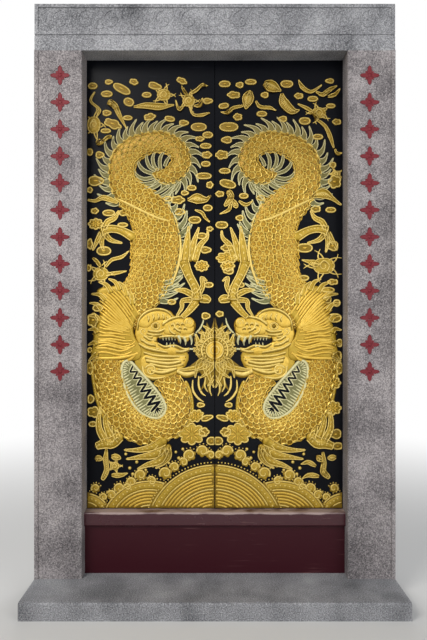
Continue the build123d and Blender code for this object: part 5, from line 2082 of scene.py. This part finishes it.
@dataclass
class Sky:
    """Clouds and small creatures of one leaf. Plate thicknesses in metres, widths in columns."""

    relief: Relief
    strokes: Sequence[Stroke]
    lobes: Sequence[Tuple[float, float, float, float]]
    clouds: Sequence[Tuple[float, float, float, float, float]]
    cloud_plate: float = 0.0065
    creature_plate: float = 0.010
    rim_width: float = 1.9
    legs: int = 10
    large_width: float = 12.5
    large_height: float = 9.0
    large_lobes: int = 8

    def build(self) -> None:
        """Build the creatures and the clouds."""
        self.creatures()
        self.cloud_bank()

    def creatures(self) -> None:
        """Small creatures: lobed bodies with ribs, and tapering limbs."""
        relief = self.relief
        own = []
        for stroke in self.strokes:
            course = smooth_course(stroke, 3)
            share = np.linspace(0, 1, len(course))
            course[:, 2] *= np.minimum(1.0, 0.30 + 2.4 * np.minimum(share, 1 - share))
            own.append([(relief.own(column), row, width) for column, row, width in course])
        parts = []
        ribs = []
        legs = []
        rims = []
        for column, row, width, height in self.lobes:
            centre = relief.own(column)
            outline = lobed_outline(centre, row, width, height, 0, 2)
            parts.append(relief.dome(outline, self.creature_plate, width / 3, Finish.OLIVE, 0.5, 1.2))
            rims.append([(*spot, 1.5) for spot in in_field(outline)])
            ribs.append(spiral(centre, row, min(width, height) * 0.60, 1.4, 120, 1.6))
            ribs.append(tick(centre, row, width * 0.30, 0.0, -height * 0.30, 1.2, 1.7))
            for number in range(self.legs):
                angle = 2 * math.pi * (number + 0.5) / self.legs
                bend = 0.35 if number % 2 else -0.35
                leg = []
                for share, broad in ((0.44, 1.8), (0.66, 1.5), (0.86, 1.2), (1.02, 0.6)):
                    turn = angle + bend * (share - 0.42) * 2.2
                    leg.append(around((centre, row), width * share, height * share, turn, broad))
                legs.append(leg)
        parts += relief.outlined(own, Finish.OLIVE, Finish.PALE_GOLD, 0.72, 1.2)
        for stroke in own:
            ribs += [
                tick(column, row, width * 0.26, width * 0.2, -width * 0.1, 0.8, 1.1)
                for column, row, width in smooth_course(stroke, 2) if width > 4.0
            ]
        parts.append(relief.carve(rims, Finish.PALE_GOLD, 1.1, 0.0008, True))
        parts.append(relief.carve(legs, Finish.PALE_GOLD, 0.8, 0.0006))
        parts.append(relief.carve(ribs, Finish.PALE_GOLD, 0.9, 0.0008, steps=1))
        relief.finish_piece("sea_creatures", parts)

    def cloud_bank(self) -> None:
        """Clouds: an amber ground, a pale rim and a curl inside."""
        relief = self.relief
        turn = -1 if relief.side.mirrored else 1
        own = [(relief.own(c), r, w, h, turn * tilt) for c, r, w, h, tilt in self.clouds]
        parts = []
        rims = []
        curls = []
        for index, (column, row, width, height, tilt) in enumerate(list(SHARED_CLOUDS) + own):
            large = width > self.large_width and height > self.large_height
            lobes = self.large_lobes if large else (2, 3, 2, 5)[index % 4]
            outline = in_field(lobed_outline(column, row, width, height, tilt, lobes))
            finish = Finish.OLIVE if large else Finish.AMBER
            parts.append(relief.dome(outline, self.cloud_plate, 2.0, finish, 0.6, 1.8))
            rims.append([(*spot, self.rim_width) for spot in outline])
            if large:
                for angle in (2 * math.pi * lobe / lobes for lobe in range(lobes)):
                    curls.append([
                        around((column, row), width * share, height * share, angle, broad)
                        for share, broad in ((0.10, 1.6), (0.24, 2.2), (0.38, 1.2))
                    ])
            else:
                across = width * 0.15 * math.cos(math.radians(tilt))
                down = width * 0.15 * math.sin(math.radians(tilt))
                curls.append([
                    (column - across, row + down, height * 0.16), (column, row, height * 0.26),
                    (column + across, row - down, height * 0.16),
                ])
        parts.append(relief.carve(rims, Finish.PALE_GOLD, 1.1, 0.0012, True))
        parts.append(relief.carve(curls, Finish.GOLD, 0.9, 0.0002, steps=1))
        relief.finish_piece("clouds", parts)


@dataclass
class StoneFrame:
    """Granite frame: finishes of its nodes, painted rosettes and the scroll frieze. Sizes in metres."""

    finishes: Dict[Finish, Material]
    patterns: PatternTree
    strokes: StrokeTree
    rosette_count: int = 12
    rosette_pitch: float = 0.162
    rosette_drop: float = 0.150
    rosette_column: float = 0.9315
    field_depth: float = 0.008
    ground_depth: float = 0.003
    seat: float = 0.0004
    petals: Tuple[Tuple[float, float, Triple], ...] = (
        (0.0, 0.031, (0.040, 0.026, 0.006)), (math.pi / 4, 0.020, (0.022, 0.015, 0.004)),
    )
    boss: Triple = (0.011, 0.011, 0.006)
    frieze_margin: float = 0.020
    frieze_depth: float = 0.008
    band: float = 0.085
    groove: float = 0.012
    scroll_pitch: float = 0.155
    scroll_reach: float = 0.052

    def build(self) -> None:
        """Dress the stones and add their ornament."""
        for node in ("sill", "lintel", "left_pillow", "right_pillow"):
            dress_node(f"{node}_stone", self.finishes[Finish.GRANITE])
        for node in ("left_jamb", "right_jamb"):
            dress_node(f"{node}_stone", self.finishes[Finish.JAMB])
        self.rosettes()
        self.frieze()

    def rosettes(self) -> None:
        """Painted lozenges with four petals and a boss in the jambs' sunk grounds."""
        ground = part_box("left_jamb_stone")[0].y + self.field_depth + self.ground_depth - self.seat
        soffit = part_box("lintel_stone")[0].z
        places = []
        bosses = []
        for side in (-1, 1):
            for index in range(self.rosette_count):
                level = soffit - self.rosette_drop - index * self.rosette_pitch
                centre = Vector((side * self.rosette_column, ground, level))
                for quarter in range(4):
                    for turn, reach, size in self.petals:
                        angle = math.pi / 2 * quarter + turn
                        aim = Vector((math.cos(angle), 0.0, math.sin(angle)))
                        places.append((centre + aim * reach, TO_FRONT, aim, Vector(size)))
                bosses.append((centre, TO_FRONT, TO_RIGHT, Vector(self.boss)))
        paint = self.finishes[Finish.PAINT]
        self._place("jamb_rosettes", [
            self.patterns.set_out(places, scale_template(paint), 0.04, 5),
            self.patterns.set_out(bosses, bead_template(paint), 0.04, 6),
        ])

    def frieze(self) -> None:
        """Low scrolls in the lintel's sunk field."""
        low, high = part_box("lintel_stone")
        face = low.y + self.frieze_depth
        middle = (low.z + self.band + self.groove + self.frieze_margin + high.z - self.frieze_margin) / 2
        number = int((high.x - low.x - 2 * self.frieze_margin) / self.scroll_pitch)
        strokes = []
        for index in range(number):
            centre = (index - (number - 1) / 2) * self.scroll_pitch
            hand = 1 if index % 2 == 0 else -1
            scroll = []
            for share in (step / 24 for step in range(25)):
                angle = hand * (math.pi * 2.4 * share + math.pi / 2)
                reach = self.scroll_reach * (1 - share) + 0.008
                across, up = around((centre, middle), reach, hand * reach, angle)
                scroll.append((Vector((across, face, up)), 0.0078 - 0.003 * share))
            strokes.append(scroll)
            for leaf in (-1, 1):
                tip = []
                for share in (0.0, 0.5, 1.0):
                    across = centre + self.scroll_pitch / 2 * (0.72 + 0.2 * share) * leaf
                    up = middle + leaf * hand * (self.scroll_reach - 0.06 * share)
                    tip.append((Vector((across, face, up)), 0.008 - 0.006 * share))
                strokes.append(tip)
        self._place("lintel_frieze", [self.strokes.carve(strokes, 0.75, self.finishes[Finish.GRANITE])])

    @staticmethod
    def _place(name: str, parts: Sequence[Piece]) -> None:
        """Join parts and set them on the frame."""
        settle(join(name, parts), "frame")


def dress_node(node: str, finish: Material) -> None:
    """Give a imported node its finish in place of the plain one."""
    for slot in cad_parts[node].material_slots:
        slot.material = finish
    log.info("%s dressed in %s", node, finish.name)


@dataclass
class Joinery:
    """Leaves' timber, threshold, pivots and bar. Sizes in metres."""

    finishes: Dict[Finish, Material]
    lath_clearance: float = 0.0004
    lath_depth: float = 0.014
    lath_set_back: float = 0.004

    def build(self) -> None:
        """Dress the nodes and close the joint between the leaves."""
        dressed = {
            Finish.THRESHOLD: ["threshold_board"],
            Finish.CAP: ["threshold_cap"],
            Finish.TIMBER: ["head_socket_beam", "left_bar_keepers", "right_bar_keeper", "bar"],
            Finish.IRON: ["pivot_cups", "head_cramps"],
        }
        of_each_leaf = {
            Finish.BLACK: ["pivot_stile", "meeting_stile", "board_1", "board_2", "board_3"],
            Finish.TIMBER: ["back_ledges"],
            Finish.IRON: ["pivot_shoe", "top_ferrule"],
        }
        for finish, nodes in dressed.items():
            for node in nodes:
                dress_node(node, self.finishes[finish])
        for side in Side:
            for finish, nodes in of_each_leaf.items():
                for node in nodes:
                    dress_node(f"{side.value}_{node}", self.finishes[finish])
            self.lath(side)

    def lath(self, side: Side) -> None:
        """Dark lath on a leaf's meeting edge, which closes the joint without touching the other leaf.

        Args:
            side: The leaf.
        """
        low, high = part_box("left_meeting_stile")
        sign = -1 if side.mirrored else 1
        near, far = sign * (high.x - 0.0005), -sign * (high.x + self.lath_clearance)
        set_back = self.lath_depth + self.lath_set_back if side.mirrored else self.lath_set_back
        front = (low.y + high.y) / 2 + set_back
        back = front + self.lath_depth - 0.001
        plan = ((near, front), (far, front), (far, back), (near, back))
        corners = [(x, y, z) for z in (low.z, high.z) for x, y in plan]
        faces = [(3, 2, 1, 0), (4, 5, 6, 7), (0, 1, 5, 4), (1, 2, 6, 5), (2, 3, 7, 6), (3, 0, 4, 7)]
        piece = solid(f"{side.value}_meeting_lath", corners, faces, self.finishes[Finish.BLACK])
        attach(piece, f"{side.value}_leaf")
        log.info("%s: %d faces", piece.name, len(faces))


@dataclass(frozen=True)
class Lamp:
    """Square soft lamp: place and target in metres, power in watts."""

    name: str
    place: Triple
    target: Triple
    size: float
    power: float
    colour: Colour = (1.0, 1.0, 1.0)

    def build(self) -> None:
        """Hang the lamp and turn it to its target."""
        lamp = bpy.data.lights.new(self.name, "AREA")
        lamp.shape = "SQUARE"
        lamp.size = self.size
        lamp.energy = self.power
        lamp.color = self.colour
        made = new_object(self.name, lamp)
        made.location = self.place
        made.rotation_euler = (Vector(self.target) - Vector(self.place)).to_track_quat("-Z", "Y").to_euler()


@dataclass
class Studio:
    """Plain floor, soft light and the camera. Lengths in metres, lens and sensor in millimetres."""

    eye: Triple = (-0.008, -4.0, 1.658)
    lens: float = 36.0
    sensor: float = 36.0
    floor_reach: float = 14.0
    floor_paint: FloorPaint = FloorPaint("floor_plain", (0.62, 0.61, 0.59), (1.6, 6.0))
    even_colour: Colour = (0.80, 0.84, 0.90)
    even_strength: float = 0.42
    lamps: Tuple[Lamp, ...] = (
        Lamp("key", (-2.6, -4.2, 4.6), (0.0, 0.0, 1.9), 2.6, 210.0, (1.0, 0.98, 0.95)),
        Lamp("fill", (3.4, -4.4, 2.6), (0.0, 0.0, 1.6), 3.2, 88.0, (0.95, 0.97, 1.0)),
        Lamp("low", (0.4, -4.8, 0.9), (0.0, 0.0, 1.0), 2.4, 38.0),
        Lamp("back", (0.0, 4.6, 4.0), (0.0, 0.0, 1.8), 3.5, 160.0),
    )

    def build(self) -> None:
        """Build the floor, the lamps, the background and the camera."""
        self.floor()
        for lamp in self.lamps:
            lamp.build()
        self.background()
        self.camera()

    def floor(self) -> None:
        """Pale floor under the doorstep, which goes over into the white background in the picture."""
        reach = self.floor_reach
        mesh = bpy.data.meshes.new("floor")
        corners = [(-reach, -reach, 0.0), (reach, -reach, 0.0), (reach, reach, 0.0), (-reach, reach, 0.0)]
        mesh.from_pydata(corners, [], [(0, 1, 2, 3)])
        mesh.materials.append(self.floor_paint.material())
        new_object("floor", mesh)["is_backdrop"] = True

    def background(self) -> None:
        """Even light, with a plain white background in the picture."""
        scene = bpy.context.scene
        scene.world = bpy.data.worlds.new("studio")
        scene.world.use_nodes = True
        scene.world.node_tree.nodes.clear()
        graph = Graph(scene.world.node_tree)
        even, plain = (
            graph.out("ShaderNodeBackground", {}, {"Color": (*colour, 1.0), "Strength": strength})
            for colour, strength in ((self.even_colour, self.even_strength), ((1.0, 1.0, 1.0), 1.0))
        )
        mixed = graph.mix_shaders(graph.background_ray(), even, plain)
        graph.node("ShaderNodeOutputWorld", {}, {0: mixed})
        scene.view_settings.view_transform = "Standard"

    def camera(self) -> None:
        """Camera at standing height in front of the door."""
        lens = bpy.data.cameras.new("camera")
        lens.lens = self.lens
        lens.sensor_width = self.sensor
        lens.sensor_fit = "AUTO"
        made = new_object("camera", lens)
        made.location = self.eye
        made.rotation_euler = (math.pi / 2, 0.0, 0.0)
        bpy.context.scene.camera = made


def main() -> None:
    """Build the door's looks piece by piece."""
    logging.basicConfig(level=logging.INFO, format="%(message)s")
    finishes = {finish: finish.value.material() for finish in Finish}
    strokes = StrokeTree()
    patterns = PatternTree()
    StoneFrame(finishes, patterns, strokes).build()
    Joinery(finishes).build()
    drawing = Drawing()
    own = {
        Side.LEFT: (LEFT_STROKES, LEFT_LOBES, LEFT_CLOUDS),
        Side.RIGHT: (RIGHT_STROKES, RIGHT_LOBES, RIGHT_CLOUDS),
    }
    for side in Side:
        relief = Relief(drawing, side, strokes, patterns, finishes)
        Dragon(relief).build()
        Sea(relief).build()
        Sky(relief, *own[side]).build()
    Studio().build()
    visual_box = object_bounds()
    [[list(corner) for corner in box] for box in (cad_box, visual_box)]


if __name__ == "__main__":
    main()
